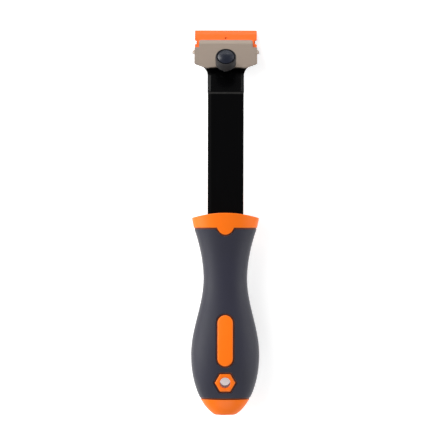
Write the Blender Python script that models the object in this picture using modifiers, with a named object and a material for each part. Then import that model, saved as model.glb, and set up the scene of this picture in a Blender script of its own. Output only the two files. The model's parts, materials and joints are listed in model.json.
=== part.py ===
"""Long-handled scraper: a bent steel bar in a two-shot handle, with a clamped, replaceable plastic blade.

The tool frame has its origin where the bar leaves the handle, with +Y towards the blade, X across the
blade and +Z out of the face that carries the knob. The head frame starts where the bar's bend ends, with
+Y along the bent head and +Z square to it, so the knob's axis is parallel to its Z. The finished tool is
laid on its back: the back of the handle and the blade's edge both touch the ground at z = 0.
"""

import math

import bmesh
import bpy
from mathutils import Vector

MM = 0.001

# Fits between neighbouring pieces
SEAT_GAP = 0.30 * MM
BORE_GAP = 0.30 * MM
WINDOW_GAP = 0.30 * MM

# Replaceable blade: both long edges are bevelled, and each end has a notch at mid height
BLADE_WIDTH = 38.5 * MM
BLADE_HEIGHT = 19.0 * MM
BLADE_THICKNESS = 1.3 * MM
BLADE_BEVEL = 3.6 * MM
BLADE_TIP = 0.2 * MM
NOTCH_DEPTH = 2.0 * MM
NOTCH_MOUTH = 4.4 * MM
NOTCH_FLOOR = 2.4 * MM
PINHOLE_RADIUS = 0.65 * MM
PINHOLE_OFFSET = 3.1 * MM

# Steel bar: tang, shaft, bend, neck and the seat that carries the blade
BAR_THICKNESS = 2.5 * MM
EDGE_BEVEL_WIDTH = 2.0 * MM
EDGE_BEVEL_DEPTH = 0.7 * MM
TANG_WIDTH = 12.0 * MM
TANG_LENGTH = 82.0 * MM
TANG_SHOULDER = 14.0 * MM
TANG_FILLET = 4.0 * MM
TANG_HOLE_RADIUS = 2.6 * MM
TANG_HOLE_FIRST = 34.0 * MM
TANG_HOLE_PITCH = 30.0 * MM
SHAFT_WIDTH = 22.0 * MM
SHAFT_EXPOSED = 72.3 * MM
BEND_RADIUS = 4.5 * MM
BEND_ANGLE = math.radians(34.2)
NECK_WIDTH = 22.4 * MM
NECK_LENGTH = 12.3 * MM
NECK_FILLET = 9.5 * MM
NECK_FILLET_SWEEP = 75
SEAT_CORNER_MARGIN = 0.4 * MM
SEAT_CORNER_SWEEP = 60
NOSE_MARGIN = 0.95 * MM
NOSE_PAST_CENTRE = 4.9 * MM

# Places along the head, measured from the end of the bend
SCREW_AT = 16.9 * MM
SCREW_TO_BLADE = 9.9 * MM

# Clamp plate, pressed from sheet
SHEET = 1.0 * MM
LIP_LENGTH = 3.4 * MM
LIP_ANGLE = math.radians(10)
LIP_BEND_RADIUS = 2.0 * MM
LIP_PAST_CENTRE = 0.4 * MM
LIP_INSET = 2.6 * MM
LIP_CORNER = 1.5 * MM
SHOULDER_BEHIND_CENTRE = 5.7 * MM
SHOULDER_CORNER = 0.8 * MM
HEEL_BEHIND_SCREW = 1.9 * MM
HEEL_WIDTH = 24.4 * MM
HEEL_RISE = 2.6 * MM
HEEL_CORNER = 1.6 * MM
HEEL_CORNER_SWEEP = 65
TONGUE_RADIUS = 3.9 * MM
EAR_CLEARANCE = 0.45 * MM
EAR_ROOT = 2.8 * MM
EAR_TIP = 1.2 * MM
EAR_DROP = 0.2 * MM
EAR_BEND_RADIUS = 0.8 * MM
EAR_AHEAD_OF_BLADE_REAR = 0.3 * MM

# Stop rivets behind the blade
RIVET_SPACING = 22.0 * MM
RIVET_HEAD_RADIUS = 2.0 * MM
RIVET_SHANK_RADIUS = 1.2 * MM
RIVET_TAIL_RADIUS = 1.9 * MM
RIVET_TAIL_TIP_RADIUS = 1.1 * MM
RIVET_TAIL_HEIGHT = 0.8 * MM

# Knob, its screw and the nut behind the seat
SCREW_RADIUS = 2.5 * MM
SCREW_HEAD_FLATS = 7.0 * MM
SCREW_HEAD_HEIGHT = 2.8 * MM
SCREW_END = 0.8 * MM
WASHER_RADIUS = 4.4 * MM
WASHER_THICKNESS = 1.0 * MM
NUT_FLATS = 8.0 * MM
NUT_HEIGHT = 4.0 * MM
KNOB_FOOT_RADIUS = 6.35 * MM
KNOB_TOP_RADIUS = 6.4 * MM
KNOB_HEIGHT = 6.5 * MM
KNOB_STRAIGHT = 2.6 * MM
KNOB_FLOOR = 1.5 * MM
KNOB_EDGE = 0.3 * MM
CAP_RADIUS = 5.1 * MM
CAP_MOAT = 0.65 * MM
CAP_DOME = 0.9 * MM

# Handle: its front is measured from the collar's crown, and its rear from the end of the butt
CROWN_RISE = 3.1 * MM
COLLAR_END = 9.0 * MM
WAIST_AT = 40.0 * MM
HANDLE_LENGTH = 123.9 * MM
BELLY_FROM_END = 36.6 * MM
BUTT_LENGTH = 9.45 * MM
HANDLE_WIDTHS = {
    "shoulder": 41.4 * MM,
    "collar_end": 38.9 * MM,
    "waist": 26.8 * MM,
    "belly": 41.9 * MM,
    "butt": 12.0 * MM,
}
HANDLE_DEPTHS = {
    "shoulder": 29.0 * MM,
    "collar_end": 27.0 * MM,
    "waist": 22.6 * MM,
    "belly": 30.6 * MM,
    "butt": 9.0 * MM,
}
FLARE_POWER = 1.82
SECTION_FULLNESS = 2.2
GRIP_WALL = 2.2 * MM

# Hard pads that rise through windows in the soft grip
PAD_PROUD = 0.3 * MM
TAB_RADIUS = 5.2 * MM
TAB_REACH = 3.9 * MM
TAB_SINK = 0.05 * MM
TAB_ROOT = 0.6 * MM
SLOT_WIDTH = 9.4 * MM
SLOT_LENGTH = 31.1 * MM
SLOT_FROM_END = 46.0 * MM
BEZEL_FLATS = 10.8 * MM
BEZEL_FROM_END = 20.4 * MM
HANG_RADIUS = 3.2 * MM

# Facets
ARC_STEPS = 6
CORNER_STEPS = 3
BEND_STEPS = 5
ROUND_STEPS = 32
PINHOLE_STEPS = 16
HANDLE_SIDES = 36
RING_PITCH = 4.5 * MM
BUTT_STEPS = 7
CROWN_SHARES = (0.3, 0.6, 0.85, 1.0)
SHARP_ANGLE = math.radians(30)
WELD = 0.000001

# Length of a drill or punch, in thicknesses of what it goes through
CUT_THROUGH = 4

# Finishes: colour, roughness and how metallic
FINISHES = {
    "black_steel": ((0.012, 0.012, 0.014), 0.42, 0.6),
    "plated_steel": ((0.36, 0.31, 0.25), 0.38, 0.9),
    "bright_steel": ((0.55, 0.55, 0.56), 0.3, 1.0),
    "orange_plastic": ((0.90, 0.20, 0.03), 0.42, 0.0),
    "blade_plastic": ((0.92, 0.21, 0.04), 0.35, 0.0),
    "grey_rubber": ((0.055, 0.054, 0.066), 0.62, 0.0),
    "black_plastic": ((0.020, 0.021, 0.027), 0.4, 0.0),
}

# Places worked out from the sizes above
BLADE_REAR = SCREW_AT + SCREW_TO_BLADE
BLADE_CENTRE = BLADE_REAR + BLADE_HEIGHT / 2
LIP_EDGE = BLADE_CENTRE + LIP_PAST_CENTRE
LIP_WIDTH = BLADE_WIDTH - 2 * LIP_INSET
SEAT_FACE = BAR_THICKNESS / 2
BLADE_MIDDLE = SEAT_FACE + SEAT_GAP + BLADE_THICKNESS / 2
LIP_DROP = LIP_LENGTH * math.sin(LIP_ANGLE)
PLATE_MIDDLE = BLADE_MIDDLE + BLADE_THICKNESS / 2 + SEAT_GAP + LIP_DROP + SHEET / 2
PLATE_HALF = BLADE_WIDTH / 2 + EAR_CLEARANCE - (EAR_BEND_RADIUS - SHEET / 2)
WASHER_FOOT = PLATE_MIDDLE + SHEET / 2 + SEAT_GAP
KNOB_FOOT = WASHER_FOOT + WASHER_THICKNESS + SEAT_GAP
NUT_TOP = -SEAT_FACE - SEAT_GAP
BEND_LENGTH = BEND_RADIUS * BEND_ANGLE
BORE_RADIUS = SCREW_RADIUS + BORE_GAP
# The seat's corner stays round inside its eased edge
SEAT_CORNER = EDGE_BEVEL_WIDTH + SEAT_CORNER_MARGIN
BELLY_AT = HANDLE_LENGTH - BELLY_FROM_END
BUTT_START = HANDLE_LENGTH - BUTT_LENGTH
SLOT_AT = HANDLE_LENGTH - SLOT_FROM_END
BEZEL_AT = HANDLE_LENGTH - BEZEL_FROM_END


def clear_scene():
    """Start from an empty file."""
    for item in list(bpy.data.objects):
        bpy.data.objects.remove(item, do_unlink=True)


def new_collection(name):
    """Empty group in the scene."""
    group = bpy.data.collections.new(name)
    bpy.context.scene.collection.children.link(group)
    return group


def finish(name):
    """Principled material with the colour and the sheen of a named finish."""
    colour, roughness, metallic = FINISHES[name]
    surface = bpy.data.materials.new(name)
    surface.use_nodes = True
    shader = surface.node_tree.nodes["Principled BSDF"]
    shader.inputs["Base Color"].default_value = (*colour, 1.0)
    shader.inputs["Roughness"].default_value = roughness
    shader.inputs["Metallic"].default_value = metallic
    return surface


def arc(centre, radius, start, end, steps=ARC_STEPS):
    """Points on a circle from one angle to another, in degrees."""
    points = []
    for step in range(steps + 1):
        angle = math.radians(start + (end - start) * step / steps)
        points.append((centre[0] + radius * math.cos(angle), centre[1] + radius * math.sin(angle)))
    return points


def mirrored(half):
    """Close a right-hand outline that runs from rear to front with its mirror image in X = 0."""
    left = [(-x, y) for x, y in reversed(half) if x > WELD]
    return half + left


def circle(centre, radius, steps=ROUND_STEPS):
    """Corners of a full circle, without repeating the first."""
    return arc(centre, radius, 0, 360 - 360 / steps, steps - 1)


def hexagon(flats, centre=(0.0, 0.0)):
    """Six corners, with flats square to Y."""
    return circle(centre, flats / math.sqrt(3), 6)


def stadium(width, length, centre):
    """Slot with round ends, its length along Y."""
    reach = (length - width) / 2
    front = arc((centre[0], centre[1] + reach), width / 2, 0, 180, 2 * ARC_STEPS)
    return front + arc((centre[0], centre[1] - reach), width / 2, 180, 360, 2 * ARC_STEPS)


def extruded(name, outlines, thickness, bevel=0.0):
    """Filled flat outlines, thickened evenly about z = 0, as an editable mesh."""
    curve = bpy.data.curves.new(name, "CURVE")
    curve.dimensions = "2D"
    curve.fill_mode = "BOTH"
    curve.extrude = thickness / 2 - bevel
    curve.bevel_depth = bevel
    curve.bevel_resolution = 0
    curve.offset = -bevel
    for outline in outlines:
        spline = curve.splines.new("POLY")
        spline.points.add(len(outline) - 1)
        for point, (x, y) in zip(spline.points, outline):
            point.co = (x, y, 0.0, 1.0)
        spline.use_cyclic_u = True
    holder = bpy.data.objects.new(name, curve)
    bpy.context.scene.collection.objects.link(holder)
    flat = holder.evaluated_get(bpy.context.evaluated_depsgraph_get())
    mesh = bpy.data.meshes.new_from_object(flat)
    bpy.data.objects.remove(holder, do_unlink=True)
    shape = bmesh.new()
    shape.from_mesh(mesh)
    bpy.data.meshes.remove(mesh)
    bmesh.ops.remove_doubles(shape, verts=shape.verts, dist=WELD)
    bmesh.ops.recalc_face_normals(shape, faces=shape.faces)
    return shape


def bend_down(shape, direction, start, radius, angle):
    """Fold a sheet towards -Z past a line, about the middle of its thickness, as a press brake does."""
    length = radius * angle
    for step in range(BEND_STEPS + 1):
        place = start + length * step / BEND_STEPS
        everything = shape.verts[:] + shape.edges[:] + shape.faces[:]
        bmesh.ops.bisect_plane(
            shape, geom=everything, plane_co=direction * place, plane_no=direction, dist=WELD)
    for vert in shape.verts:
        run = vert.co.dot(direction) - start
        if run <= 0:
            continue
        turn = min(run, length) / radius
        straight = max(run - length, 0.0)
        rim = radius + vert.co.z
        reach = rim * math.sin(turn) + straight * math.cos(turn)
        drop = radius - rim * math.cos(turn) + straight * math.sin(turn)
        vert.co += direction * (reach - run)
        vert.co.z = -drop


def loft(rings, closed=False):
    """Skin a row of rings with equal counts; a closed row joins its last ring to its first."""
    shape = bmesh.new()
    rows = [[shape.verts.new(point) for point in ring] for ring in rings]
    pairs = list(zip(rows, rows[1:]))
    if closed:
        pairs.append((rows[-1], rows[0]))
    for first, second in pairs:
        for side in range(len(first)):
            after = (side + 1) % len(first)
            shape.faces.new((first[side], first[after], second[after], second[side]))
    if not closed:
        shape.faces.new(rows[0])
        shape.faces.new(rows[-1])
    bmesh.ops.recalc_face_normals(shape, faces=shape.faces)
    return shape


def place(name, shape, frame, group, location=(0.0, 0.0, 0.0)):
    """Turn an editable mesh into a named object in a frame."""
    mesh = bpy.data.meshes.new(name)
    shape.to_mesh(mesh)
    shape.free()
    item = bpy.data.objects.new(name, mesh)
    item.parent = frame
    item.location = location
    group.objects.link(item)
    return item


def turned(name, profile, frame, group, location, closed=False):
    """Turn a profile of (radius, height) points, listed down its outer side, about its Z axis."""
    mesh = bpy.data.meshes.new(name)
    links = [(index, index + 1) for index in range(len(profile) - 1)]
    if closed:
        links.append((len(profile) - 1, 0))
    mesh.from_pydata([(radius, 0.0, height) for radius, height in profile], links, [])
    item = bpy.data.objects.new(name, mesh)
    item.parent = frame
    item.location = location
    group.objects.link(item)
    screw = item.modifiers.new("turn", "SCREW")
    screw.axis = "Z"
    screw.angle = math.tau
    screw.steps = ROUND_STEPS
    screw.render_steps = ROUND_STEPS
    screw.use_merge_vertices = True
    screw.merge_threshold = WELD
    screw.use_smooth_shade = False
    return item


def combine(item, tool, operation):
    """Boolean of an item with a hidden tool solid."""
    step = item.modifiers.new(tool.name, "BOOLEAN")
    step.operation = operation
    step.object = tool
    step.solver = "EXACT"
    tool.hide_render = True
    tool.display_type = "WIRE"


def dress(item, surface):
    """Give an item its material, with round faces smooth and edges sharp."""
    item.data.materials.append(surface)
    item.data.shade_smooth()
    item.data.set_sharp_from_angle(angle=SHARP_ANGLE)


def rods(places, radius, length):
    """Round rods side by side along Z, as one cutter mesh."""
    return extruded("rods", [circle(spot, radius) for spot in places], length)


def bar_outline():
    """Right half of the bar as a flat blank, from the tang's tip to the nose of the seat."""
    bend_end = SHAFT_EXPOSED + BEND_LENGTH
    tip = TANG_WIDTH / 2
    seat_half = BLADE_WIDTH / 2
    nose_half = LIP_WIDTH / 2 + NOSE_MARGIN
    shoulder = bend_end + BLADE_CENTRE - SHOULDER_BEHIND_CENTRE
    nose_end = bend_end + BLADE_CENTRE + NOSE_PAST_CENTRE
    fillet_centre = (NECK_WIDTH / 2 + NECK_FILLET, bend_end + NECK_LENGTH)
    flare = arc(fillet_centre, NECK_FILLET, 180, 180 - NECK_FILLET_SWEEP)
    corner = (seat_half - SEAT_CORNER, flare[-1][1] + SEAT_CORNER)
    outline = arc((0.0, tip - TANG_LENGTH), tip, -90, 0)
    outline += arc((tip + TANG_FILLET, -TANG_SHOULDER - TANG_FILLET), TANG_FILLET, 180, 90)[:-1]
    outline += [(SHAFT_WIDTH / 2, -TANG_SHOULDER)]
    outline += [(SHAFT_WIDTH / 2, SHAFT_EXPOSED), (NECK_WIDTH / 2, bend_end)]
    outline += [point for point in flare if point[0] < corner[0]]
    outline += arc(corner, SEAT_CORNER, -SEAT_CORNER_SWEEP, 0, CORNER_STEPS)
    outline += [(seat_half, shoulder), (nose_half, shoulder), (nose_half, nose_end)]
    return outline


def make_shaft_bar(tool, head, parts, cutters):
    """Bar stamped as a flat blank with eased edges, drilled, then bent back at the neck."""
    squash = EDGE_BEVEL_DEPTH / EDGE_BEVEL_WIDTH
    shape = extruded("shaft_bar", [mirrored(bar_outline())], BAR_THICKNESS / squash, EDGE_BEVEL_WIDTH)
    for vert in shape.verts:
        vert.co.z *= squash
    bend_down(shape, Vector((0.0, 1.0, 0.0)), SHAFT_EXPOSED, BEND_RADIUS, BEND_ANGLE)
    bar = place("shaft_bar", shape, tool, parts)
    drill = CUT_THROUGH * BAR_THICKNESS
    tang_holes = rods(tang_hole_places(), TANG_HOLE_RADIUS, drill)
    combine(bar, place("tang_drill", tang_holes, tool, cutters), "DIFFERENCE")
    screw_hole = rods([(0.0, SCREW_AT)], BORE_RADIUS, drill)
    combine(bar, place("screw_drill", screw_hole, head, cutters), "DIFFERENCE")
    rivet_holes = rods(rivet_places(), RIVET_SHANK_RADIUS + BORE_GAP, drill)
    combine(bar, place("rivet_drill", rivet_holes, head, cutters), "DIFFERENCE")
    return bar


def tang_hole_places():
    """Centres of the tang's two keying holes."""
    return [(0.0, -TANG_HOLE_FIRST), (0.0, -TANG_HOLE_FIRST - TANG_HOLE_PITCH)]


def rivet_places():
    """Centres of the stop rivets, just behind the blade's rear edge."""
    rear = BLADE_REAR - SEAT_GAP - RIVET_HEAD_RADIUS
    return [(-RIVET_SPACING / 2, rear), (RIVET_SPACING / 2, rear)]


def make_stop_rivet(name, spot, head, parts):
    """Rivet whose head stops the blade and carries the plate, with its tail formed behind the seat."""
    top = PLATE_MIDDLE - SHEET / 2 - SEAT_GAP
    foot = SEAT_FACE + SEAT_GAP
    tail = -SEAT_FACE - SEAT_GAP
    profile = [
        (0.0, top),
        (RIVET_HEAD_RADIUS, top),
        (RIVET_HEAD_RADIUS, foot),
        (RIVET_SHANK_RADIUS, foot),
        (RIVET_SHANK_RADIUS, tail),
        (RIVET_TAIL_RADIUS, tail),
        (RIVET_TAIL_TIP_RADIUS, tail - RIVET_TAIL_HEIGHT),
        (0.0, tail - RIVET_TAIL_HEIGHT),
    ]
    return turned(name, profile, head, parts, (*spot, 0.0))


def make_scraper_blade(head, parts, cutters):
    """Double-edged plastic blade: a bevelled strip with end notches and two pinholes."""
    reach = BLADE_HEIGHT / 2
    flat = reach - BLADE_BEVEL
    thick = BLADE_THICKNESS / 2
    tip = BLADE_TIP / 2
    section = [(-thick, -flat), (-tip, -reach), (tip, -reach), (thick, -flat)]
    section += [(thick, flat), (tip, reach), (-tip, reach), (-thick, flat)]
    shape = extruded("scraper_blade", [section], BLADE_WIDTH)
    for vert in shape.verts:
        vert.co = Vector((vert.co.z, vert.co.y, -vert.co.x))
    blade = place("scraper_blade", shape, head, parts, (0.0, BLADE_CENTRE, BLADE_MIDDLE))
    # The notch's taper goes on as far outside the blade as it goes in
    inner = BLADE_WIDTH / 2 - NOTCH_DEPTH
    outer = BLADE_WIDTH / 2 + NOTCH_DEPTH
    floor = NOTCH_FLOOR / 2
    wide = NOTCH_MOUTH - floor
    notch = [(inner, -floor), (outer, -wide), (outer, wide), (inner, floor)]
    outlines = [notch, [(-x, y) for x, y in reversed(notch)]]
    for offset in (-PINHOLE_OFFSET, PINHOLE_OFFSET):
        outlines.append(circle((0.0, offset), PINHOLE_RADIUS, PINHOLE_STEPS))
    cutter = extruded("blade_punch", outlines, CUT_THROUGH * BLADE_THICKNESS)
    punch = place("blade_punch", cutter, head, cutters, (0.0, BLADE_CENTRE, BLADE_MIDDLE))
    combine(blade, punch, "DIFFERENCE")
    return blade


def plate_outline():
    """Right half of the clamp plate's blank, from the tongue round the screw to the lip."""
    heel = SCREW_AT - HEEL_BEHIND_SCREW
    meet = -math.degrees(math.asin(HEEL_BEHIND_SCREW / TONGUE_RADIUS))
    shoulder = BLADE_CENTRE - SHOULDER_BEHIND_CENTRE
    heel_corner = (PLATE_HALF - HEEL_CORNER, heel + HEEL_RISE + HEEL_CORNER)
    ear_at = BLADE_REAR + EAR_AHEAD_OF_BLADE_REAR
    ear_end = PLATE_HALF + EAR_BEND_RADIUS * math.pi / 2 + EAR_DROP
    shoulder_corner = (PLATE_HALF - SHOULDER_CORNER, shoulder - SHOULDER_CORNER)
    lip_half = LIP_WIDTH / 2
    lip_corner = (lip_half - LIP_CORNER, LIP_EDGE - LIP_CORNER)
    outline = arc((0.0, SCREW_AT), TONGUE_RADIUS, -90, meet, 2 * ARC_STEPS)
    outline += [(HEEL_WIDTH / 2, heel)]
    outline += arc(heel_corner, HEEL_CORNER, -HEEL_CORNER_SWEEP, 0)
    outline += [(PLATE_HALF, ear_at - EAR_ROOT / 2), (ear_end, ear_at - EAR_TIP / 2)]
    outline += [(ear_end, ear_at + EAR_TIP / 2), (PLATE_HALF, ear_at + EAR_ROOT / 2)]
    outline += arc(shoulder_corner, SHOULDER_CORNER, 0, 90, CORNER_STEPS)
    outline += [(lip_half, shoulder)]
    outline += arc(lip_corner, LIP_CORNER, 0, 90, CORNER_STEPS)
    return outline


def make_clamp_plate(head, parts):
    """Pressed plate: a lip bent onto the blade, and a tapered ear bent down beside each end of the blade."""
    outlines = [mirrored(plate_outline()), circle((0.0, SCREW_AT), BORE_RADIUS)]
    shape = extruded("clamp_plate", outlines, SHEET)
    bend_down(shape, Vector((0.0, 1.0, 0.0)), LIP_EDGE - LIP_LENGTH, LIP_BEND_RADIUS, LIP_ANGLE)
    for side in (-1.0, 1.0):
        bend_down(shape, Vector((side, 0.0, 0.0)), PLATE_HALF, EAR_BEND_RADIUS, math.pi / 2)
    return place("clamp_plate", shape, head, parts, (0.0, 0.0, PLATE_MIDDLE))


def make_thrust_washer(head, parts):
    """Flat washer that the knob turns against."""
    profile = [
        (BORE_RADIUS, WASHER_THICKNESS),
        (WASHER_RADIUS, WASHER_THICKNESS),
        (WASHER_RADIUS, 0.0),
        (BORE_RADIUS, 0.0),
    ]
    return turned("thrust_washer", profile, head, parts, (0.0, SCREW_AT, WASHER_FOOT), closed=True)


def make_thumb_knob(head, parts, cutters):
    """Turned knob with a hexagon pocket for the screw's head and a recess for the cap."""
    recess = CAP_RADIUS + CAP_MOAT
    pocket_top = KNOB_FLOOR + SCREW_HEAD_HEIGHT + 2 * SEAT_GAP
    top = KNOB_HEIGHT
    profile = [
        (recess, pocket_top),
        (recess, top),
        (KNOB_TOP_RADIUS - KNOB_EDGE, top),
        (KNOB_TOP_RADIUS, top - KNOB_EDGE),
        (KNOB_TOP_RADIUS, top - KNOB_STRAIGHT),
        (KNOB_FOOT_RADIUS, KNOB_EDGE),
        (KNOB_FOOT_RADIUS - KNOB_EDGE, 0.0),
        (BORE_RADIUS, 0.0),
        (BORE_RADIUS, pocket_top),
    ]
    axis = (0.0, SCREW_AT, KNOB_FOOT)
    knob = turned("thumb_knob", profile, head, parts, axis, closed=True)
    depth = 2 * (pocket_top - KNOB_FLOOR)
    pocket = extruded("screw_pocket", [hexagon(SCREW_HEAD_FLATS + 2 * SEAT_GAP)], depth)
    centre = (0.0, SCREW_AT, KNOB_FOOT + pocket_top)
    combine(knob, place("screw_pocket", pocket, head, cutters, centre), "DIFFERENCE")
    return knob


def make_knob_cap(head, parts):
    """Domed cap that closes the knob over the screw's head."""
    foot = KNOB_FLOOR + SCREW_HEAD_HEIGHT + 3 * SEAT_GAP
    dome = []
    for step in range(ARC_STEPS + 1):
        share = step / ARC_STEPS
        dome.append((CAP_RADIUS * share, KNOB_HEIGHT + CAP_DOME * (1 - share * share)))
    profile = dome + [(CAP_RADIUS, foot), (0.0, foot)]
    return turned("knob_cap", profile, head, parts, (0.0, SCREW_AT, KNOB_FOOT))


def make_knob_screw(head, parts, cutters):
    """Hexagon-headed screw held in the knob, through plate and seat into the nut."""
    head_foot = KNOB_FOOT + KNOB_FLOOR + SEAT_GAP
    end = NUT_TOP - NUT_HEIGHT - SCREW_END
    middle = head_foot + SCREW_HEAD_HEIGHT / 2
    shape = extruded("knob_screw", [hexagon(SCREW_HEAD_FLATS)], SCREW_HEAD_HEIGHT)
    screw = place("knob_screw", shape, head, parts, (0.0, SCREW_AT, middle))
    profile = [(0.0, middle), (SCREW_RADIUS, middle), (SCREW_RADIUS, end + SCREW_END / 2)]
    profile += [(SCREW_RADIUS - SCREW_END / 2, end), (0.0, end)]
    shank = turned("screw_shank", profile, head, cutters, (0.0, SCREW_AT, 0.0))
    combine(screw, shank, "UNION")
    return screw


def make_press_nut(head, parts):
    """Hexagon nut fixed behind the seat."""
    outlines = [hexagon(NUT_FLATS), circle((0.0, 0.0), BORE_RADIUS)]
    shape = extruded("press_nut", outlines, NUT_HEIGHT)
    return place("press_nut", shape, head, parts, (0.0, SCREW_AT, NUT_TOP - NUT_HEIGHT / 2))


def handle_half(along, sizes):
    """Half width or half depth of the handle at a distance from the crown."""
    half = {name: size / 2 for name, size in sizes.items()}
    if along <= COLLAR_END:
        share = (along - CROWN_RISE) / (COLLAR_END - CROWN_RISE)
        return half["shoulder"] + (half["collar_end"] - half["shoulder"]) * share
    if along <= WAIST_AT:
        share = (WAIST_AT - along) / (WAIST_AT - COLLAR_END)
        return half["waist"] + (half["collar_end"] - half["waist"]) * share ** FLARE_POWER
    if along <= BELLY_AT:
        share = (along - WAIST_AT) / (BELLY_AT - WAIST_AT)
        return half["waist"] + (half["belly"] - half["waist"]) * (1 - math.cos(math.pi * share)) / 2
    stretch = (HANDLE_LENGTH - BELLY_AT) / math.sqrt(1 - (half["butt"] / half["belly"]) ** 2)
    return half["belly"] * math.sqrt(1 - ((along - BELLY_AT) / stretch) ** 2)


def section_points():
    """Corners of the handle's section, a superellipse, as shares of its half width and half depth."""
    points = []
    for side in range(HANDLE_SIDES):
        angle = math.tau * side / HANDLE_SIDES
        across = math.copysign(abs(math.cos(angle)) ** (2 / SECTION_FULLNESS), math.cos(angle))
        out = math.copysign(abs(math.sin(angle)) ** (2 / SECTION_FULLNESS), math.sin(angle))
        points.append((across, out))
    return points


def ring(along, inset=0.0):
    """Section of the handle at a distance from the crown, across X and Z."""
    half_width = handle_half(along, HANDLE_WIDTHS) - inset
    half_depth = handle_half(along, HANDLE_DEPTHS) - inset
    return [(half_width * across, -along, half_depth * out) for across, out in section_points()]


def stations(start, end):
    """Even distances from one end to the other, about a ring pitch apart."""
    count = max(2, round((end - start) / RING_PITCH))
    return [start + (end - start) * step / count for step in range(count + 1)]


def butt_stations():
    """Distances over the butt, closing up towards its end, where it curves most."""
    reach = HANDLE_LENGTH - BUTT_START
    return [BUTT_START + reach * math.sin(math.pi / 2 * step / BUTT_STEPS) for step in range(BUTT_STEPS + 1)]


def crown_rings():
    """Rings of the collar's top, which is arched across X, from near its middle out to its rim."""
    rings = []
    for share in CROWN_SHARES:
        points = []
        for across, out in section_points():
            rim = CROWN_RISE * across * across
            half_width = handle_half(rim, HANDLE_WIDTHS) * share
            half_depth = handle_half(rim, HANDLE_DEPTHS) * share
            points.append((half_width * across, -rim * share * share, half_depth * out))
        rings.append(points)
    return rings


def pad_prisms(extra):
    """Outlines of the slot pad and the hang-hole bezel, grown all round by a margin."""
    slot = stadium(SLOT_WIDTH + 2 * extra, SLOT_LENGTH + 2 * extra, (0.0, -SLOT_AT))
    return [slot, hexagon(BEZEL_FLATS + 2 * extra, (0.0, -BEZEL_AT))]


def tab_prism(extra, root):
    """Outline of the round tab below the collar, grown by a margin, from a root above the collar's end."""
    radius = TAB_RADIUS + extra
    centre = COLLAR_END + TAB_REACH - TAB_RADIUS
    rise = (centre - COLLAR_END + root) / radius
    edge = math.degrees(math.asin(rise))
    return [arc((0.0, -centre), radius, -180 - edge, edge, 2 * ARC_STEPS)]


def make_handle_core(tool, parts, cutters):
    """Hard core moulded on the tang: collar, waist under the grip, pads and butt."""
    wall = GRIP_WALL + SEAT_GAP
    rings = crown_rings() + [ring(COLLAR_END)]
    rings += [ring(along, inset=wall) for along in stations(COLLAR_END, BUTT_START)]
    rings += [ring(along) for along in butt_stations()]
    core = place("handle_core", loft(rings), tool, parts)
    through = 2 * HANDLE_DEPTHS["belly"]

    pad_span = stations(SLOT_AT - SLOT_LENGTH, BUTT_START - SEAT_GAP)
    pads = place("pad_form", loft([ring(along, inset=-PAD_PROUD) for along in pad_span]), tool, cutters)
    combine(pads, place("pad_prisms", extruded("pads", pad_prisms(0.0), through), tool, cutters), "INTERSECT")
    combine(core, pads, "UNION")

    tab_span = stations(COLLAR_END - 2 * TAB_ROOT, COLLAR_END + 2 * TAB_RADIUS)
    tabs = place("tab_form", loft([ring(along, inset=TAB_SINK) for along in tab_span]), tool, cutters)
    tab_stock = extruded("tab", tab_prism(0.0, TAB_ROOT), through)
    combine(tabs, place("tab_prism", tab_stock, tool, cutters), "INTERSECT")
    combine(core, tabs, "UNION")

    combine(core, make_tang_slot(tool, cutters), "DIFFERENCE")
    hang = rods([(0.0, -BEZEL_AT)], HANG_RADIUS, through)
    combine(core, place("hang_drill", hang, tool, cutters), "DIFFERENCE")
    return core


def make_tang_slot(tool, cutters):
    """Space that the tang fills, less the plugs that key through its holes."""
    tip = TANG_WIDTH / 2 + SEAT_GAP
    wide = SHAFT_WIDTH / 2 + SEAT_GAP
    outline = arc((0.0, TANG_WIDTH / 2 - TANG_LENGTH), tip, -90, 0)
    outline += arc((tip + TANG_FILLET, -TANG_SHOULDER - SEAT_GAP - TANG_FILLET), TANG_FILLET, 180, 90)[:-1]
    outline += [(wide, -TANG_SHOULDER - SEAT_GAP), (wide, CROWN_RISE)]
    plugs = [circle(spot, TANG_HOLE_RADIUS - BORE_GAP) for spot in tang_hole_places()]
    slot = extruded("tang_slot", [mirrored(outline)] + plugs, BAR_THICKNESS + 2 * SEAT_GAP)
    return place("tang_slot", slot, tool, cutters)


def make_grip_sleeve(tool, parts, cutters):
    """Soft grip moulded over the core, with windows for the pads and a notch for the tab."""
    span = stations(COLLAR_END + SEAT_GAP, BUTT_START - SEAT_GAP)
    rings = [ring(along) for along in span]
    rings += [ring(along, inset=GRIP_WALL) for along in reversed(span)]
    grip = place("grip_sleeve", loft(rings, closed=True), tool, parts)
    through = 2 * HANDLE_DEPTHS["belly"]
    windows = extruded("windows", pad_prisms(WINDOW_GAP) + tab_prism(WINDOW_GAP, TAB_ROOT), through)
    combine(grip, place("window_cutter", windows, tool, cutters), "DIFFERENCE")
    return grip


def tool_points(items, tool):
    """Every corner of the finished items, in the tool's own frame."""
    graph = bpy.context.evaluated_depsgraph_get()
    inverse = tool.matrix_world.inverted()
    points = []
    for item in items:
        solid = item.evaluated_get(graph)
        to_tool = inverse @ solid.matrix_world
        points += [to_tool @ vert.co for vert in solid.data.vertices]
    return points


def lay_down(tool, items):
    """Rest the tool on its handle's back and its blade's edge, with the origin under its middle."""
    bpy.context.view_layer.update()
    points = tool_points(items, tool)
    front = max(point.y for point in points)
    edge = min((point for point in points if point.y > front - BLADE_TIP), key=lambda point: point.z)
    handle = [point for point in points if point.y < 0]
    tool.rotation_euler.x = min(math.atan2(point.z - edge.z, edge.y - point.y) for point in handle)
    bpy.context.view_layer.update()
    laid = [tool.matrix_world @ point for point in points]
    tool.location.y = -(min(point.y for point in laid) + max(point.y for point in laid)) / 2
    tool.location.z = -min(point.z for point in laid)
    bpy.context.view_layer.update()


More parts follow.
